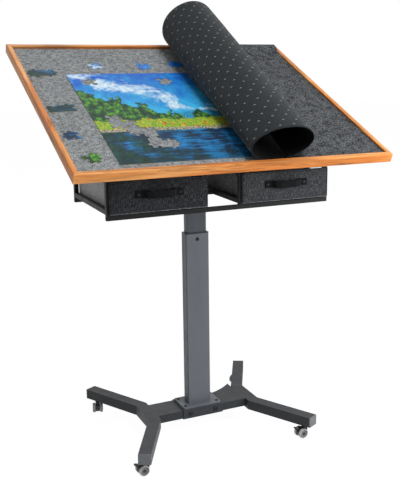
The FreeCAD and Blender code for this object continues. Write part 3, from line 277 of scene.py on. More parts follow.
# colour, roughness and the scale of the moulded texture
plastics = {"matDot": (tone(108, 114, 116), 0.6), "card": (tone(176, 168, 152), 0.85),
            "gasPaint": (tone(22, 22, 24), 0.2, 400.0), "blackPlastic": (tone(24, 25, 27), 0.5),
            "hubPlastic": (tone(98, 100, 104), 0.5), "tread": (tone(168, 170, 172), 0.6)}


def makePlastic(name, colour, roughness, texture=1500.0):
    newFinish(name, colour, roughness, Specular_IOR_Level=0.45)
    place = objectPlace()
    scuff = cloudy(place, 45.0, 4.0, 0.6)
    wire("Base Color", over(colour, scaled(colour, 1.5, 0.012), scuff, 0.5, 0.8, 0.6))
    wire("Roughness", spread(scuff, 0.3, 0.75, roughness - 0.08, roughness + 0.12))
    relief(cells(place, texture), 0.2, 0.0003)


endPlug = {"colour": tone(98, 101, 104), "roughness": 0.5}


def makeRibbed(name, colour, roughness):
    # fine upright ribs moulded into the end plugs
    makePlastic(name, colour, roughness)
    relief(bands(objectPlace(), 62.0, "DIAGONAL"), 0.6, 0.0012)


# colour, roughness and how metallic
metals = {"zinc": (tone(176, 178, 182), 0.34), "blackBolt": (tone(40, 41, 44), 0.42, 0.6),
          "chrome": (tone(214, 216, 220), 0.1)}


def makeMetal(name, colour, roughness, metallic=1.0):
    newFinish(name, colour, roughness, metallic)
    brushed = cloudy(objectPlace((900.0, 60.0, 900.0)), 1.0, 3.0, 0.6)
    stain = cloudy(objectPlace(), 70.0, 4.0, 0.6)
    wire("Base Color", over(colour, scaled(colour, 0.72), stain, 0.4, 0.75, 0.6))
    wire("Roughness", spread(brushed, 0.3, 0.7, max(roughness - 0.08, 0.03), roughness + 0.12))
    relief(brushed, 0.12, 0.0002)


# colours of the printed picture, and the heights of its meadow, shore and water
picture = {"skyTop": tone(6, 100, 198), "skyLow": tone(58, 178, 228), "cloud": tone(236, 246, 252),
           "hill": tone(18, 84, 104), "leafDark": tone(8, 44, 22), "leafLight": tone(104, 176, 50),
           "meadow": tone(170, 178, 52), "flower": tone(226, 62, 38), "blossom": tone(250, 182, 62),
           "shore": tone(206, 186, 140), "waterDeep": tone(6, 34, 60), "waterLight": tone(34, 134, 200),
           "reed": tone(16, 82, 66), "levels": (0.44, 0.345, 0.315)}


def makePicture(name, skyTop, skyLow, cloud, hill, leafDark, leafLight, meadow, flower, blossom, shore,
                waterDeep, waterLight, reed, levels):
    # a lake in summer, printed on the card: sky, clouds, hills, a wood, a meadow and the water
    newFinish(name, skyLow, 0.55, Specular_IOR_Level=0.2)
    place = flatPlace()
    parts = put("SeparateXYZ", {"Vector": place})
    u, v = parts["X"], parts["Y"]
    rough = cloudy(place, 9.0, 5.0, 0.6)
    fine = cloudy(place, 34.0, 6.0, 0.75)
    crisp = cloudy(flatPlace(shift=(2.0, 7.0, 0.0)), 72.0, 4.0, 0.7)
    wobble = minus(rough, 0.5)

    def under(height, soft, jitter):
        # 1 below a wavy line across the picture
        return spread(minus(plus(height, times(wobble, jitter)), v), -soft, soft)

    def near(value, middle, reach, high, low):
        return spread(calc("ABSOLUTE", minus(value, middle)), 0.0, reach, high, low)

    sky = over(skyLow, skyTop, plus(v, wobble), 0.5, 0.98)
    drift = cloudy(flatPlace((3.4, 5.4, 1.0), (1.3, 0.2, 0)), 1.0, 9.0, 0.66, 0.5)
    bank = near(plus(v, times(u, 0.55)), 1.0, 0.2, 0.14, -0.08)
    shaded = over(cloud, skyLow, fine, 0.42, 0.6, 0.55)
    sky = over(sky, shaded, plus(drift, bank), 0.55, 0.66)
    hills = plus(0.5, times(calc("SINE", times(u, 9.0)), 0.03))
    colour = mixed(under(hills, 0.006, 0.08), sky, over(hill, skyLow, crisp, 0.4, 0.6))

    lit = spread(plus(times(cells(place, 24.0), 0.5), crisp), 0.5, 0.82)
    leaves = over(mixed(lit, leafLight, leafDark), reed, fine, 0.5, 0.62, 0.75)
    crown = plus(times(u, -0.5), 0.8)
    colour = mixed(under(crown, 0.008, 0.42), colour, leaves)
    grove = near(u, 0.84, 0.16, 0.55, 0.36)
    colour = mixed(under(grove, 0.008, 0.16), colour, leaves)

    grass = over(meadow, leafLight, fine, 0.45, 0.6)
    grass = over(grass, leafDark, crisp, 0.52, 0.64, 0.8)
    flowers = flatPlace((1.0, 1.5, 1.0))
    which = put("SeparateColor", {"Color": cells(flowers, 22.0, "Color")})
    petals = over(flower, blossom, which[0], 0.45, 0.55)
    inBloom = spread(plus(cells(flowers, 22.0), crisp), 0.74, 0.84, 1.0, 0.0)
    grass = mixed(times(inBloom, spread(which[1], 0.3, 0.4)), grass, petals)
    colour = mixed(under(levels[0], 0.006, 0.12), colour, grass)
    colour = mixed(under(levels[1], 0.004, 0.05), colour, over(shore, hill, crisp, 0.4, 0.6))

    ripple = cloudy(flatPlace((5.0, 40.0, 1.0)), 1.0, 5.0, 0.65, 0.8)
    patches = cloudy(flatPlace((6.0, 3.0, 1.0), (0.4, 2.6, 0.0)), 1.0, 3.0, 0.55)
    bright = plus(times(ripple, 0.6), times(patches, 0.5))
    water = over(waterDeep, waterLight, plus(bright, times(u, 0.1)), 0.56, 0.72)
    shadow = plus(plus(rough, times(crisp, 0.3)), times(u, -0.3))
    water = over(water, mixed(lit, reed, leafDark), shadow, 0.5, 0.66, 0.9)
    water = over(water, cloud, bright, 0.74, 0.8, 0.8)
    water = mixed(spread(v, 0.0, 0.16, 0.5, 0.0), water, leafDark)
    colour = mixed(under(levels[2], 0.003, 0.03), colour, water)
    wire("Base Color", over(colour, waterDeep, crisp, 0.5, 0.7, 0.3))
    relief(cloudy(place, 420.0, 1.0, 0.5), 0.15, 0.0002)


makeFelt("felt", **felt)
makeFelt("matFelt", **matFelt)
makeFelt("matEdgeShaded", **shadedEdgeFelt)
makeMatBacking("matBacking", **backing)
makePicture("picture", **picture)
makeWebbing("shadedWebbing", **shadedWebbing)
makeRibbed("capPlastic", **endPlug)
for maker, kinds in ((makeWood, woods), (makeSlubFabric, cloths), (makePowderCoat, paints),
                     (makePlastic, plastics), (makeMetal, metals)):
    for name, facts in kinds.items():
        maker(name, *facts)
print("finishes made:", len(finishes))

# finishes of the CAD nodes that stay in sight
nodeFinish = {
    "rimAlong": ["rim_long_rails"], "rimUp": ["rim_side_rails"], "panel": ["board_panel"], "pine": ["battens"],
    "basePaint": ["left_leg", "right_leg", "centre_sleeve"],
    "columnPaint": ["outer_tube"], "innerPaint": ["inner_tube"],
    "rackPaint": ["head_bracket", "tilt_bracket", "rack_cross_rails", "rack_posts", "rack_side_rails",
                  "rack_runners", "rack_socket"],
    "blackBolt": ["sleeve_bolts", "base_screws", "drawer_left_rivets", "drawer_right_rivets"],
    "zinc": ["caster_stems", "pivot_bolt", "clamp_bolt", "lever_pin", "release_lever", "push_rod", "anchor_pin",
             "socket_bolts", "bracket_screws"],
    "chrome": ["gas_rod"], "gasPaint": ["gas_cylinder"], "capPlastic": ["arm_end_caps"],
    "blackPlastic": ["top_bush", "lower_bush", "clamp_knob", "lever_grip"], "tread": [],
}
casterFinish = {"housing": "blackPlastic", "axle": "zinc", "wheels": "tread", "brake": "blackPlastic"}
for place in ("front_left", "front_right", "back_left", "back_right"):
    for part, finishName in casterFinish.items():
        if part != "brake" or place.startswith("front"):
            nodeFinish[finishName].append("caster_" + place + "_" + part)
for finishName, names in nodeFinish.items():
    for node in names:
        nodes[node].data.materials.clear()
        nodes[node].data.materials.append(finishes[finishName])

# dark hub covers inside the pale treads
hub = {"coverRadius": 0.0126, "boreRadius": 0.0042}
for joint in frame["joints"]:
    if joint["name"].startswith("roll_"):
        wheels = nodes["caster_" + joint["name"][5:] + "_wheels"]
        wheels.data.materials.append(finishes["hubPlastic"])
        wheels.data.materials.append(finishes["blackPlastic"])
        middle, axle = Vector(joint["pos_m"]), Vector(joint["axis"])
        for face in wheels.data.polygons:
            arm = face.center - middle
            away = (arm - axle * arm.dot(axle)).length
            face.material_index = (away < hub["coverRadius"]) + (away < hub["boreRadius"])
print("CAD nodes dressed:", sum(len(names) for names in nodeFinish.values()))


# mesh tools
def makePiece(name, points, faces, finishNames, body, flat=None, faceFinish=None, smooth=True):
    mesh = bpy.data.meshes.new(name)
    mesh.from_pydata([tuple(p) for p in points], [], faces)
    for finishName in finishNames:
        mesh.materials.append(finishes[finishName])
    if flat:
        layer = mesh.uv_layers.new(name="flat")
        for loop in mesh.loops:
            layer.data[loop.index].uv = flat[loop.vertex_index]
    mesh.polygons.foreach_set("use_smooth", [smooth] * len(mesh.polygons))
    if faceFinish:
        mesh.polygons.foreach_set("material_index", faceFinish)
    mesh.validate()
    mesh.update()
    piece = bpy.data.objects.new(name, mesh)
    bpy.context.scene.collection.objects.link(piece)
    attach(piece, body)
    return piece


def onBoard(x, y, z):
    return boardPlace @ Vector((x, y, z))


def limited(value, low=0.0, high=1.0):
    return min(max(value, low), high)


def ramp(value, start, length):
    # rises smoothly from 0 at the start to 1
    t = limited((value - start) / length)
    return t * t * (3 - 2 * t)


def wavy(x, y, z):
    return noise.noise(Vector((x, y, z)))


def gridFaces(columns, rows, first=0, flip=False):
    corners = [first + j * columns + i for j in range(rows - 1) for i in range(columns - 1)]
    faces = [(a, a + 1, a + columns + 1, a + columns) for a in corners]
    return [face[::-1] for face in faces] if flip else faces


def outlineOf(columns, rows, first=0):
    # the outer ring of a grid's points, anticlockwise
    grid = [list(range(first + j * columns, first + (j + 1) * columns)) for j in range(rows)]
    return grid[0] + [row[-1] for row in grid[1:-1]] + grid[-1][::-1] + [row[0] for row in grid[-2:0:-1]]


def bandFaces(lower, upper):
    count = len(lower)
    return [(lower[i], lower[(i + 1) % count], upper[(i + 1) % count], upper[i]) for i in range(count)]


def slabFaces(columns, rows):
    # two grids of points, one on each side, and the band between their edges
    count = columns * rows
    faces = gridFaces(columns, rows) + gridFaces(columns, rows, count, flip=True)
    return faces + bandFaces(outlineOf(columns, rows, count), outlineOf(columns, rows))


def tubeFaces(rings, flip=False):
    # bands between the rings and a cap at each end
    faces = [face for lower, upper in zip(rings, rings[1:]) for face in bandFaces(lower, upper)]
    faces += [tuple(rings[0][::-1]), tuple(rings[-1])]
    return [face[::-1] for face in faces] if flip else faces


def slabPlaces(columns, rows, low, high):
    # side, column, row and the two coordinates of each point of a slab
    (x0, y0), (x1, y1) = low, high
    return [(side, i, j, x0 + (x1 - x0) * i / (columns - 1), y0 + (y1 - y0) * j / (rows - 1))
            for side in (0, 1) for j in range(rows) for i in range(columns)]


def newRing(points, count):
    return list(range(len(points), len(points) + count))


def walk(start, goal, step):
    # points from start towards the goal, without the goal
    count = max(int((goal - start).length / step), 1)
    return [start.lerp(goal, k / count) for k in range(count)]


# felt on the board
feltBoard = {"step": 0.0045, "nap": 0.00022, "napScale": 160, "thick": 0.0018}


def makeFeltBoard():
    half = board["halfWidth"] - board["rimWidth"]
    front, back = board["frontEdge"] + board["rimWidth"], board["backEdge"] - board["rimWidth"]
    columns, rows = int(2 * half / feltBoard["step"]) + 1, int((back - front) / feltBoard["step"]) + 1
    points = []
    for side, _, _, x, y in slabPlaces(columns, rows, (-half, front), (half, back)):
        nap = feltBoard["nap"] * (wavy(x * feltBoard["napScale"], y * feltBoard["napScale"], 0) - 1.0)
        points.append(onBoard(x, y, board["feltTop"] + (-feltBoard["thick"] if side else nap)))
    piece = makePiece("feltBoard", points, slabFaces(columns, rows), ["felt"], "board")
    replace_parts(piece, "felt_surface")


makeFeltBoard()
print("felt laid")

# cover mat, fixed at the right and rolled over to the middle
mat = {"right": 0.433, "thick": 0.0029, "lift": 0.00015, "frontY": -0.34705, "backY": 0.37295, "rim": 0.0011,
       "flatSteps": 60, "rollSteps": 96, "lengthSteps": 110, "wave": 0.0013, "mouthWave": 0.0018, "nap": 0.00012,
       "front": {"x": 0.1005, "halfWidth": 0.0895, "halfHeight": 0.0505, "lean": 0.018, "end": -64.0},
       "back": {"x": 0.112, "halfWidth": 0.086, "halfHeight": 0.0805, "lean": 0.009, "end": -38.0}}
# the flat part laps over the back rail, and over the right one at that corner; pairs are where a slope
# starts and how long it is
lap = {"rise": 0.0083, "reach": 0.016, "reachFrom": 0.30, "sideReach": 0.012, "sideReachX": 0.36,
       "sideReachY": (0.335, 0.04), "rearY": (0.345, 0.0315), "sideX": (0.408, 0.0255), "sideY": (0.29, 0.045),
       "rollEdge": 0.165, "fade": (0.0, 0.015), "reachFade": (0.015, 0.02)}
# the rings of a dot are share of its radius and share of its rise
dots = {"stepAround": 0.019, "stepAlong": 0.045, "halfWide": 0.0036, "halfLong": 0.0020, "rise": 0.0007,
        "sides": 10, "margin": 0.011, "rings": ((1.0, -0.6), (1.0, 0.25), (0.62, 0.85))}


def matSection(end, step, depth):
    # one point of a section at the front or the back; depth is how far inside the outer face it lies
    roll = mat[end]
    if step <= mat["flatSteps"]:
        return mat["right"] + (roll["x"] - roll["lean"] - mat["right"]) * (step / mat["flatSteps"]), depth
    angle = math.radians(-90.0 - (270.0 - roll["end"]) * (step - mat["flatSteps"]) / mat["rollSteps"])
    across, up = math.cos(angle), math.sin(angle)
    return (roll["x"] + (roll["halfWidth"] - depth) * across + roll["lean"] * up,
            roll["halfHeight"] + (roll["halfHeight"] - depth) * up)


def lapped(x, y, z):
    y += (lap["reach"] * ramp(y, lap["reachFrom"], mat["backY"] - lap["reachFrom"])
          * ramp(x - lap["rollEdge"], *lap["reachFade"]))
    x += (lap["sideReach"] * ramp(y, *lap["sideReachY"])
          * ramp(x, lap["sideReachX"], mat["right"] - lap["sideReachX"]))
    side = ramp(x, *lap["sideX"]) * ramp(y, *lap["sideY"])
    rear = ramp(y, *lap["rearY"]) * ramp(x - lap["rollEdge"], *lap["fade"])
    return x, y, z + lap["rise"] * max(side, rear)


def matPoint(step, share, depth):
    x0, z0 = matSection("front", step, depth)
    x1, z1 = matSection("back", step, depth)
    x, z = x0 + (x1 - x0) * share, z0 + (z1 - z0) * share
    y = mat["frontY"] + (mat["backY"] - mat["frontY"]) * share
    if step <= mat["flatSteps"]:
        x, y, z = lapped(x, y, z)
    return Vector((x, y, board["feltTop"] + mat["lift"] + z))


def matRipple(step, point):
    # slow waves on the loose turn and along its free edge, none on the flat part
    onRoll = (step - mat["flatSteps"]) / mat["rollSteps"]
    loose, tail = limited(onRoll / 0.2), max(0.0, (onRoll - 0.8) / 0.2)
    slow = wavy(point.x * 9, point.y * 6, point.z * 9)
    quick = wavy(point.x * 24, point.y * 22 + 7, point.z * 24)
    return mat["wave"] * loose * (slow + 0.35 * quick - 0.55) * (1.0 - 0.5 * tail)


def matNormal(step, share):
    last = mat["flatSteps"] + mat["rollSteps"]
    before, after = matPoint(max(step - 1, 0), share, 0.0), matPoint(min(step + 1, last), share, 0.0)
    ahead = matPoint(step, min(share + 0.01, 1.0), 0.0) - matPoint(step, max(share - 0.01, 0.0), 0.0)
    return (after - before).cross(ahead).normalized()


def matSurface(step, share, depth):
    point = matPoint(step, share, depth)
    point = point + matNormal(step, share) * matRipple(step, matPoint(step, share, 0.0))
    if share in (0.0, 1.0) and step > mat["flatSteps"]:
        point.y += mat["mouthWave"] * wavy(step * 0.07, share * 3, 2.0) * (1 - 2 * share)
    return point


def makeCoverMat():
    around, along = mat["flatSteps"] + mat["rollSteps"] + 1, mat["lengthSteps"] + 1
    lengths = [0.0]
    for step in range(1, around):
        lengths.append(lengths[-1] + (matPoint(step, 0.5, 0.0) - matPoint(step - 1, 0.5, 0.0)).length)
    points, flat = [], []
    for side, i, j, _, share in slabPlaces(around, along, (0, 0), (1, 1)):
        depth = mat["thick"] * side
        nap = mat["nap"] * wavy(i * 2.3, j * 2.9, depth * 900)
        points.append(boardPlace @ matSurface(i, share, limited(depth + nap, 0.0, mat["thick"])))
        flat.append((lengths[i], share * (mat["backY"] - mat["frontY"])))
    count = around * along
    faces = gridFaces(around, along) + gridFaces(around, along, count, flip=True)
    finish = [0] * (len(faces) // 2) + [1] * (len(faces) // 2)
    # the cut edge bulges a little, as felt does
    outer, inner = outlineOf(around, along), outlineOf(around, along, count)
    rim = []
    for a, b in zip(outer, inner):
        away = Vector((0, 0, 0))
        for place, last, stride in ((a % around, around - 1, 1), (a // around, along - 1, around)):
            if place in (0, last):
                away += points[a] - points[a + (-stride if place else stride)]
        rim.append(len(points))
        points.append((points[a] + points[b]) / 2 + away.normalized() * mat["rim"])
        flat.append(flat[a])
    edge = bandFaces(inner, rim) + bandFaces(rim, outer)
    finish += [2] * len(edge)
    piece = makePiece("coverMat", points, faces + edge, ["matBacking", "matFelt", "matEdgeShaded"], "board",
                      flat, finish)
    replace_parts(piece, "cover_mat")
    return piece, lengths


def makeMatDots(lengths):
    # pale grip dots pressed into the underside, where the roll shows it
    points, faces = [], []
    wide, long, sides = dots["halfWide"], dots["halfLong"], dots["sides"]
    width, row = mat["backY"] - mat["frontY"], 0
    u = lengths[mat["flatSteps"]] + dots["margin"]
    while u < lengths[-1] - dots["margin"]:
        step = next(i for i in range(len(lengths)) if lengths[i] > u) - 1
        exact = step + (u - lengths[step]) / (lengths[step + 1] - lengths[step])
        v = dots["margin"] + (dots["stepAlong"] / 2 if row % 2 else 0.0)
        while v < width - dots["margin"]:
            share = v / width
            middle, out = matSurface(exact, share, 0.0), matNormal(exact, share)
            side = (matSurface(exact + 0.5, share, 0.0) - matSurface(exact - 0.5, share, 0.0)).normalized()
            ahead = out.cross(side)
            rings = []
            for radius, height in dots["rings"]:
                rings.append(newRing(points, sides))
                for k in range(sides):
                    turn = 2 * math.pi * k / sides
                    arm = side * (wide * math.cos(turn)) + ahead * (long * math.sin(turn))
                    points.append(boardPlace @ (middle + arm * radius + out * dots["rise"] * height))
            faces.append(tuple(rings[0][::-1]))
            faces += bandFaces(rings[0], rings[1]) + bandFaces(rings[1], rings[2])
            faces += [(rings[2][k], rings[2][(k + 1) % sides], len(points)) for k in range(sides)]
            points.append(boardPlace @ (middle + out * dots["rise"]))
            v += dots["stepAlong"]
        u += dots["stepAround"]
        row += 1
    return makePiece("matDots", points, faces, ["matDot"], "board")


coverMat, matLengths = makeCoverMat()
matDots = makeMatDots(matLengths)
print("cover mat rolled, flat length %.3f m" % matLengths[-1])

# puzzle; a gap is its first column and row, then how many of each are missing
puzzle = {"columns": 10, "rows": 14, "pieceWidth": 0.037, "pieceHeight": 0.0367, "left": -0.324, "front": 0.042,
          "thick": 0.002, "tabRadius": 0.0052, "tabNeck": 0.0034, "tabSteps": 14, "shoulder": 0.18,
          "seam": 0.00012, "softEdge": 0.00035, "underside": 0.00005, "unevenness": 0.00008, "seed": 4,
          "gaps": [(1, 12, 1, 1), (7, 12, 1, 1), (1, 5, 1, 2), (2, 4, 1, 2), (3, 2, 1, 3), (4, 2, 1, 1)]}
# middle x and distance from the board's front edge, turn, columns, rows, and where in the picture it belongs
loosePieces = [(-0.388, 0.346, 3.0, 2, 1, (0.30, 0.02)), (-0.382, 0.083, 33.0, 1, 1, (0.12, 0.50)),
               (-0.388, 0.568, 4.0, 2, 1, (0.20, 0.06)), (-0.399, 0.196, 8.0, 1, 1, (0.86, 0.22)),
               (-0.222, 0.609, 20.0, 1, 1, (0.62, 0.78)), (-0.075, 0.607, -14.0, 1, 1, (0.40, 0.93)),
               (0.034, 0.618, 40.0, 1, 1, (0.92, 0.93))]


def tabSign(column, row, across):
    if (row % puzzle["rows"] if across else column % puzzle["columns"]) == 0:
        return 0
    return 1 if (column * 7 + row * 5 + (3 if across else 0)) % 4 < 2 else -1


def pieceSide(start, end, sign):
    # points from start to end without the end; the tab is a part circle
    if sign == 0:
        return [start, start.lerp(end, 0.5)]
    along = (end - start).normalized()
    left = Vector((-along.y, along.x)) * sign
    radius, neck, steps = puzzle["tabRadius"], puzzle["tabNeck"], puzzle["tabSteps"]
    middle = (start + end) / 2 + left * neck
    reach = math.acos(-neck / radius)
    made = [start, start.lerp(end, puzzle["shoulder"])]
    for k in range(steps + 1):
        turn = -reach + 2 * reach * k / steps
        made.append(middle + left * (radius * math.cos(turn)) + along * (radius * math.sin(turn)))
    return made + [start.lerp(end, 1 - puzzle["shoulder"])]


def pieceOutline(x, y, columns, rows, firstColumn, firstRow):
    def corner(i, j):
        return Vector((x + i * puzzle["pieceWidth"], y + j * puzzle["pieceHeight"]))

    def signOf(i, j, across):
        return tabSign(firstColumn + i, firstRow + j, across)

    made = []
    for i in range(columns):
        made += pieceSide(corner(i, 0), corner(i + 1, 0), -signOf(i, 0, True))
    for j in range(rows):
        made += pieceSide(corner(columns, j), corner(columns, j + 1), -signOf(columns, j, False))
    for i in reversed(range(columns)):
        made += pieceSide(corner(i + 1, rows), corner(i, rows), signOf(i, rows, True))
    for j in reversed(range(rows)):
        made += pieceSide(corner(0, j + 1), corner(0, j), signOf(0, j, False))
    return made


def insetOutline(outline, distance):
    made = []
    for i, point in enumerate(outline):
        before = (point - outline[i - 1]).normalized()
        after = (outline[(i + 1) % len(outline)] - point).normalized()
        inward = Vector((-(before.y + after.y), before.x + after.x))
        made.append(point + inward / max(inward.length, 0.4) * distance if inward.length > 1e-6 else point)
    return made


def addCardPiece(store, outline, place, origin=(0, 0), corner=(0, 0), lift=0.0):
    # three rings: foot, shoulder and the rounded printed face; corner is the origin's place in the picture
    points, faces, finish, flat = store
    top, seam, soft = puzzle["thick"], puzzle["seam"], puzzle["softEdge"]
    rings = []
    for inset, height in ((seam, puzzle["underside"]), (seam, top - soft), (seam + soft, top)):
        rings.append(newRing(points, len(outline)))
        for point in insetOutline(outline, inset):
            placed = place @ Vector((point.x, point.y, 0))
            points.append(onBoard(placed.x, placed.y, board["feltTop"] + height + lift))
            flat.append((corner[0] + (point.x - origin[0]) / (puzzle["pieceWidth"] * puzzle["columns"]),
                         corner[1] + (point.y - origin[1]) / (puzzle["pieceHeight"] * puzzle["rows"])))
    faces.append(tuple(rings[0][::-1]))
    faces += bandFaces(rings[0], rings[1]) + bandFaces(rings[1], rings[2])
    faces.append(tuple(rings[2]))
    finish += [1] * (len(outline) + 1) + [0] * (len(outline) + 1)


def makeCard(name, store):
    points, faces, finish, flat = store
    return makePiece(name, points, faces, ["picture", "card"], "board", flat, finish,
                     smooth=False)


def makePuzzle():
    random.seed(puzzle["seed"])
    store = ([], [], [], [])
    wide, high = puzzle["pieceWidth"], puzzle["pieceHeight"]
    x0, y0 = puzzle["left"], board["frontEdge"] + puzzle["front"]
    empty = {(c + i, r + j) for c, r, nc, nr in puzzle["gaps"] for i in range(nc) for j in range(nr)}
    for row in range(puzzle["rows"]):
        for column in range(puzzle["columns"]):
            if (column, row) not in empty:
                outline = pieceOutline(x0 + column * wide, y0 + row * high, 1, 1, column, row)
                addCardPiece(store, outline, Matrix.Identity(4), (x0, y0),
                             lift=random.uniform(0.0, puzzle["unevenness"]))
    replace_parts(makeCard("puzzlePart", store), "puzzle_sheet")


def makeLoosePieces():
    store = ([], [], [], [])
    wide, high = puzzle["pieceWidth"], puzzle["pieceHeight"]
    for index, (x, y, turn, columns, rows, corner) in enumerate(loosePieces):
        outline = pieceOutline(-columns * wide / 2, -rows * high / 2, columns, rows, index, 2 * index)
        place = Matrix.Translation((x, board["frontEdge"] + y, 0)) @ Matrix.Rotation(math.radians(turn), 4, "Z")
        addCardPiece(store, outline, place, corner=corner)
    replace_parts(makeCard("loosePuzzlePieces", store), "loose_pieces")


makePuzzle()
makeLoosePieces()
print("puzzle laid out")

# drawers: fabric over stiff walls, with a padded front and a strap; the first cloth is the front's
drawer = {"low": 0.7268, "sideTop": 0.801, "frontTop": 0.8115, "front": -0.2075, "back": 0.1082, "wall": 0.004,
          "corner": 0.0018, "step": 0.006, "bevel": 0.0004, "ease": 0.0006, "fold": 0.002, "footInset": 0.012,
          "crease": 0.0006, "crown": 0.0009, "stitch": 0.0052, "seat": 0.0003, "inside": (0.0015, 0.02),
          "levels": 10,
          "left": {"box": (-0.3145, -0.063), "panel": (-0.3235, -0.0485),
                   "cloth": ("drawerFabric", "drawerSide")},
          "right": {"box": (0.063, 0.3145), "panel": (0.054, 0.329),
                    "cloth": ("drawerRight", "drawerShaded")}}
stiffener = {"inset": 0.0045, "lift": 0.0002, "thick": 0.0024, "puff": (0.0, 0.0004, 0.0006), "wave": 0.0003,
             "columns": 42, "rows": 52}
padding = {"columns": 58, "rows": 20, "edge": (0.0011, 0.0035), "flatFrom": 0.02, "dent": 0.0005,
           "dentWidth": 0.0016, "crease": 0.0004}


def makeDrawerPiece(side, part, points, faces, finishName, flat=None):
    name = "drawer" + side.capitalize() + part
    return makePiece(name, points, faces, [finishName], "drawer_" + side, flat)


def roundedRing(x0, x1, y0, y1, radius):
    # points round an upright box, anticlockwise from the front left
    corners = [((x1 - radius, y0 + radius), -90), ((x1 - radius, y1 - radius), 0),
               ((x0 + radius, y1 - radius), 90), ((x0 + radius, y0 + radius), 180)]

    def onCorner(index, share):
        (cx, cy), start = corners[index % 4]
        turn = math.radians(start + 90 * share)
        return Vector((cx + radius * math.cos(turn), cy + radius * math.sin(turn)))

    made = []
    for index in range(4):
        made += [onCorner(index, k / 4) for k in range(4)]
        made += walk(onCorner(index, 1), onCorner(index + 1, 0), drawer["step"])
    return made


def makeDrawerBox(side):
    (x0, x1), y0, y1 = drawer[side]["box"], drawer["front"] + drawer["ease"], drawer["back"]
    wall, low, top, radius = drawer["wall"], drawer["low"], drawer["sideTop"], drawer["corner"]
    bevel, ease, fold, levels = drawer["bevel"], drawer["ease"], drawer["fold"], drawer["levels"]
    # profile from the outside bottom, over the hem, to the inside floor: inset and height
    profile = [(drawer["footInset"], low), (radius, low), (bevel, low + ease), (0.0, low + fold)]
    profile += [(0.0, low + fold + (top - low - 2 * fold) * k / levels) for k in range(1, levels + 1)]
    profile += [(bevel, top - ease), (wall * 0.35, top), (wall * 0.65, top), (wall - bevel, top - ease)]
    profile += [(wall, top - fold - (top - low - wall - 2 * fold) * k / levels) for k in range(levels + 1)]
    profile += [(wall + drawer["inside"][0], low + wall + bevel), (wall + drawer["inside"][1], low + wall)]

    def inside(point, margin):
        return Vector((limited(point.x, x0 + margin, x1 - margin), limited(point.y, y0 + margin, y1 - margin)))

    outer = roundedRing(x0, x1, y0, y1, radius)
    points, flat, rings = [], [], []
    walked = 0.0
    for index, (inset, height) in enumerate(profile):
        if index:
            walked += math.hypot(inset - profile[index - 1][0], height - profile[index - 1][1])
        rings.append(newRing(points, len(outer)))
        around = 0.0
        for k, point in enumerate(outer):
            out = (point - inside(point, radius)).normalized()
            moved = inside(point, inset) if inset > radius else point - out * inset
            if inset <= wall + 0.001:
                crease = wavy(point.x * 26, point.y * 26, height * 34) - 0.5
                bow = math.sin(math.pi * limited((height - low) / (top - low)))
                moved = moved + out * crease * drawer["crease"] * bow
            around += (point - outer[k - 1]).length if k else 0.0
            points.append(Vector((moved.x, moved.y, height)))
            flat.append((around, walked))
    piece = makeDrawerPiece(side, "Box", points, tubeFaces(rings), drawer[side]["cloth"][1], flat)
    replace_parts(piece, "drawer_" + side + "_body")


def makeDrawerFloor(side):
    # loose covered stiffener on the drawer's floor
    inset, columns, rows = stiffener["inset"], stiffener["columns"], stiffener["rows"]
    x0, x1 = drawer[side]["box"][0] + inset, drawer[side]["box"][1] - inset
    y0, y1 = drawer["front"] + inset, drawer["back"] - inset
    z0 = drawer["low"] + drawer["wall"] + stiffener["lift"]
    points, flat = [], []
    for level, i, j, x, y in slabPlaces(columns, rows, (x0, y0), (x1, y1)):
        edge = min(i, columns - 1 - i, j, rows - 1 - j)
        puff = stiffener["puff"][min(edge, 2)] + stiffener["wave"] * wavy(x * 30, y * 30, 4)
        points.append(Vector((x, y, z0 if level else z0 + stiffener["thick"] + puff)))
        flat.append((x, y))
    piece = makeDrawerPiece(side, "Floor", points, slabFaces(columns, rows), "drawerFabric", flat)
    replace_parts(piece, "drawer_" + side + "_base")


def makeDrawerFront(side):
    x0, x1 = drawer[side]["panel"]
    z0, z1 = drawer["low"] + drawer["seat"], drawer["frontTop"]
    y0, y1 = drawer["front"], drawer["front"] + drawer["wall"] - drawer["seat"]
    columns, rows = padding["columns"], padding["rows"]
    roll, rollWidth = padding["edge"]
    points, flat = [], []
    for face, _, _, x, z in slabPlaces(columns, rows, (x0, z0), (x1, z1)):
        near = min(x - x0, x1 - x, z - z0, z1 - z)
        inner = min(near / padding["flatFrom"], 1.0)
        soft = roll * (1 - min(near / rollWidth, 1.0)) ** 2
        dent = padding["dent"] * math.exp(-((near - drawer["stitch"]) / padding["dentWidth"]) ** 2)
        crease = padding["crease"] * wavy(x * 22, z * 40, 1.5) * inner
        outside = y0 + soft - drawer["crown"] * inner + dent + crease
        points.append(Vector((x, y1 - soft if face else outside, z)))
        flat.append((x, z))
    piece = makeDrawerPiece(side, "Front", points, slabFaces(columns, rows), drawer[side]["cloth"][0], flat)


def tubeAlong(path, radius, sides=8):
    # a round cord through the points; returns points and faces
    points, rings = [], []
    for i, point in enumerate(path):
        along = (path[min(i + 1, len(path) - 1)] - path[max(i - 1, 0)]).normalized()
        side = along.cross(Vector((0, 0, 1)) if abs(along.z) < 0.9 else Vector((0, 1, 0))).normalized()
        up = side.cross(along)
        rings.append(newRing(points, sides))
        for k in range(sides):
            turn = 2 * math.pi * k / sides
            points.append(point + (side * math.cos(turn) + up * math.sin(turn)) * radius)
    return points, tubeFaces(rings, flip=True)


trim = {"radius": 0.0011, "out": 0.0006, "turn": 0.003, "step": 0.006, "clear": 0.0001,
        "stitchLength": 0.0034, "stitchGap": 0.0022, "stitchStart": 0.001, "stitchRise": 0.00028,
        "threadRadius": 0.00035}


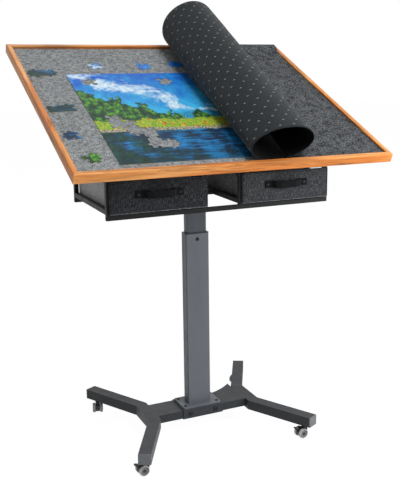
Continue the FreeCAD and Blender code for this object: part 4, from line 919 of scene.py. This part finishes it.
def makeDrawerTrim(side):
    # piping round the front's edge, paler along the bottom as a painted highlight, and a row of stitches inside
    # it
    def cornersAt(inset, out):
        # lower left, lower right, upper right and upper left
        x0, x1 = drawer[side]["panel"][0] + inset, drawer[side]["panel"][1] - inset
        z0, z1 = drawer["low"] + drawer["seat"] + inset, drawer["frontTop"] - inset
        return [Vector((x, drawer["front"] + out, z)) for x, z in ((x0, z0), (x1, z0), (x1, z1), (x0, z1))]

    lowLeft, lowRight, highRight, highLeft = cornersAt(trim["radius"] + trim["clear"], trim["out"])
    up = Vector((0, 0, trim["turn"]))
    runs = {"Hem": ("hem", [lowLeft, lowRight]),
            "Piping": ("drawerFabric", [lowRight + up, highRight, highLeft, lowLeft + up])}
    for name, (finishName, corners) in runs.items():
        path = [point for pair in zip(corners, corners[1:]) for point in walk(*pair, trim["step"])]
        points, faces = tubeAlong(path + corners[-1:], trim["radius"])
        makeDrawerPiece(side, name, points, faces, finishName, [(p.x, p.z) for p in points])
    corners = cornersAt(drawer["stitch"], trim["clear"])
    points, faces = [], []
    for corner, goal in zip(corners, corners[1:] + corners[:1]):
        length, way = (goal - corner).length, (goal - corner).normalized()
        walked = trim["stitchStart"]
        while walked + trim["stitchLength"] < length:
            start = corner + way * walked
            path = []
            for t in (0, 0.25, 0.5, 0.75, 1):
                bow = Vector((0, -trim["stitchRise"] * math.sin(math.pi * t), 0))
                path.append(start + way * trim["stitchLength"] * t + bow)
            threadPoints, threadFaces = tubeAlong(path, trim["threadRadius"], 6)
            faces += [tuple(i + len(points) for i in face) for face in threadFaces]
            points += threadPoints
            walked += trim["stitchLength"] + trim["stitchGap"]
    makeDrawerPiece(side, "Stitches", points, faces, "blackPlastic")


# the strap lies flat under each rivet and bows off the front between them; a knot is a place along it
# and its share of the rise
strap = {"width": 0.020, "thick": 0.0024, "half": 0.067, "rise": 0.01475, "height": 0.776, "sag": 0.0012,
         "gap": 0.0009, "steps": 60, "selvedge": (0.0006, 0.002),
         "knots": [(-0.067, 0.0), (-0.047, 0.0), (-0.035, 0.75), (-0.021, 1.0), (0.0, 1.02), (0.021, 1.0),
                   (0.035, 0.75), (0.047, 0.0), (0.067, 0.0)]}


def strapPath(middle):
    knots, made = strap["knots"], []
    for k in range(strap["steps"] + 1):
        x = -strap["half"] + 2 * strap["half"] * k / strap["steps"]
        index = max(i for i in range(len(knots) - 1) if knots[i][0] <= x + 1e-9)
        (xa, ra), (xb, rb) = knots[index], knots[index + 1]
        rise = (ra + (rb - ra) * ramp(x, xa, xb - xa)) * strap["rise"]
        made.append(Vector((middle + x, drawer["front"] - strap["thick"] / 2 - strap["gap"] - rise,
                            strap["height"] - strap["sag"] * rise / strap["rise"])))
    return made


def makeStrap(side):
    path = strapPath(sum(drawer[side]["panel"]) / 2)
    half, thick = strap["width"] / 2, strap["thick"] / 2
    # section of the webbing, thicker at its woven edges, in up and out
    edge, shoulder = strap["selvedge"]
    quarter = [(half, 0.3), (half - edge, 1.0), (half - shoulder, 0.8), (half * 0.4, 0.7)]
    section = [(-up, -out) for up, out in quarter] + [(up, -out) for up, out in reversed(quarter)]
    section += quarter + [(-up, out) for up, out in reversed(quarter)]
    points, flat, rings = [], [], []
    walked = 0.0
    for i, point in enumerate(path):
        before, after = path[max(i - 1, 0)], path[min(i + 1, len(path) - 1)]
        along = (after - before).normalized()
        outward = Vector((along.y, -along.x, 0)).normalized()
        walked += (point - before).length if i else 0.0
        rings.append(newRing(points, len(section)))
        for up, out in section:
            points.append(point + Vector((0, 0, up)) + outward * (out * thick))
            flat.append((walked, up))
    piece = makeDrawerPiece(side, "Strap", points, tubeFaces(rings, flip=True), "shadedWebbing", flat)
    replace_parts(piece, "drawer_" + side + "_strap")


for side in ("left", "right"):
    makeDrawerBox(side)
    makeDrawerFloor(side)
    makeDrawerFront(side)
    makeDrawerTrim(side)
    makeStrap(side)
print("drawers sewn")

# camera, floor and light
camera = {"place": (-0.94362, -2.23096, 1.14545), "yaw": 27.146, "down": 12.995, "roll": 0.152, "lens": 62.3684,
          "shift": -0.11442, "sensor": 36.0, "near": 0.05, "far": 60.0}


def makeCamera():
    data = bpy.data.cameras.new("camera")
    data.lens, data.sensor_width, data.shift_x = camera["lens"], camera["sensor"], camera["shift"]
    data.clip_start, data.clip_end = camera["near"], camera["far"]
    yaw, down, roll = (math.radians(camera[k]) for k in ("yaw", "down", "roll"))
    turned = Matrix.Rotation(-yaw, 4, "Z") @ Matrix.Rotation(math.pi / 2 - down, 4, "X")
    made = bpy.data.objects.new("camera", data)
    made.matrix_world = Matrix.Translation(camera["place"]) @ turned @ Matrix.Rotation(roll, 4, "Z")
    bpy.context.scene.collection.objects.link(made)
    bpy.context.scene.camera = made


lamps = {"key": {"place": (0.4, -1.7, 3.5), "target": (0, 0, 0.8), "size": 1.6, "power": 70.0},
         "side": {"place": (1.35, -1.25, 0.85), "target": (0, 0, 0.65), "size": 0.9, "power": 22.0},
         "back": {"place": (0.5, 2.6, 2.6), "target": (0, 0, 1.0), "size": 1.4, "power": 10.0}}
# the floor is mostly its own glow where it is seen directly, and plain paint for every other ray
studio = {"world": 0.3, "seen": 1.0, "floor": 0.9, "floorGlow": 0.9, "glow": 1.07, "reach": 14.0, "cuts": 9,
          "floorTop": -0.0004}


def makeLamp(name, place, target, size, power):
    data = bpy.data.lights.new(name, "AREA")
    data.shape, data.size, data.energy = "DISK", size, power
    made = bpy.data.objects.new(name, data)
    made.location = place
    made.rotation_mode = "QUATERNION"
    made.rotation_quaternion = (Vector(target) - Vector(place)).to_track_quat("-Z", "Y")
    bpy.context.scene.collection.objects.link(made)


def seenDirectly():
    # 1 for the camera's own rays and for those in gloss and glass
    path = put("LightPath")
    inGloss = calc("MAXIMUM", path["Is Camera Ray"], path["Is Glossy Ray"])
    return calc("MAXIMUM", inGloss, path["Is Transmission Ray"])


def makeStage():
    world = bpy.data.worlds.new("studio")
    bpy.context.scene.world = world
    world.use_nodes = True
    making["tree"], making["shader"] = world.node_tree, world.node_tree.nodes["Background"]
    making["shader"].inputs["Color"].default_value = (1, 1, 1, 1)
    wire("Strength", spread(seenDirectly(), 0.0, 1.0, studio["world"], studio["seen"]))

    newFinish("paleFloor", (studio["floor"],) * 3 + (1,), 0.9, Specular_IOR_Level=0.1)
    glow = put("Emission", {"Color": (1, 1, 1, 1), "Strength": studio["glow"]})[0]
    share = times(seenDirectly(), studio["floorGlow"])
    both = put("MixShader", {0: share, 1: making["shader"].outputs[0], 2: glow})[0]
    making["tree"].links.new(both, making["tree"].nodes["Material Output"].inputs["Surface"])
    reach, cuts = studio["reach"], studio["cuts"]
    steps = [-reach + 2 * reach * k / (cuts - 1) for k in range(cuts)]
    mesh = bpy.data.meshes.new("floor")
    mesh.from_pydata([(x, y, studio["floorTop"]) for y in steps for x in steps], [], gridFaces(cuts, cuts))
    mesh.materials.append(finishes["paleFloor"])
    floor = bpy.data.objects.new("floor", mesh)
    bpy.context.scene.collection.objects.link(floor)


makeCamera()
makeStage()
for name, facts in lamps.items():
    makeLamp(name, **facts)
bpy.context.scene.view_settings.view_transform = "Standard"
print("camera and lamps placed")
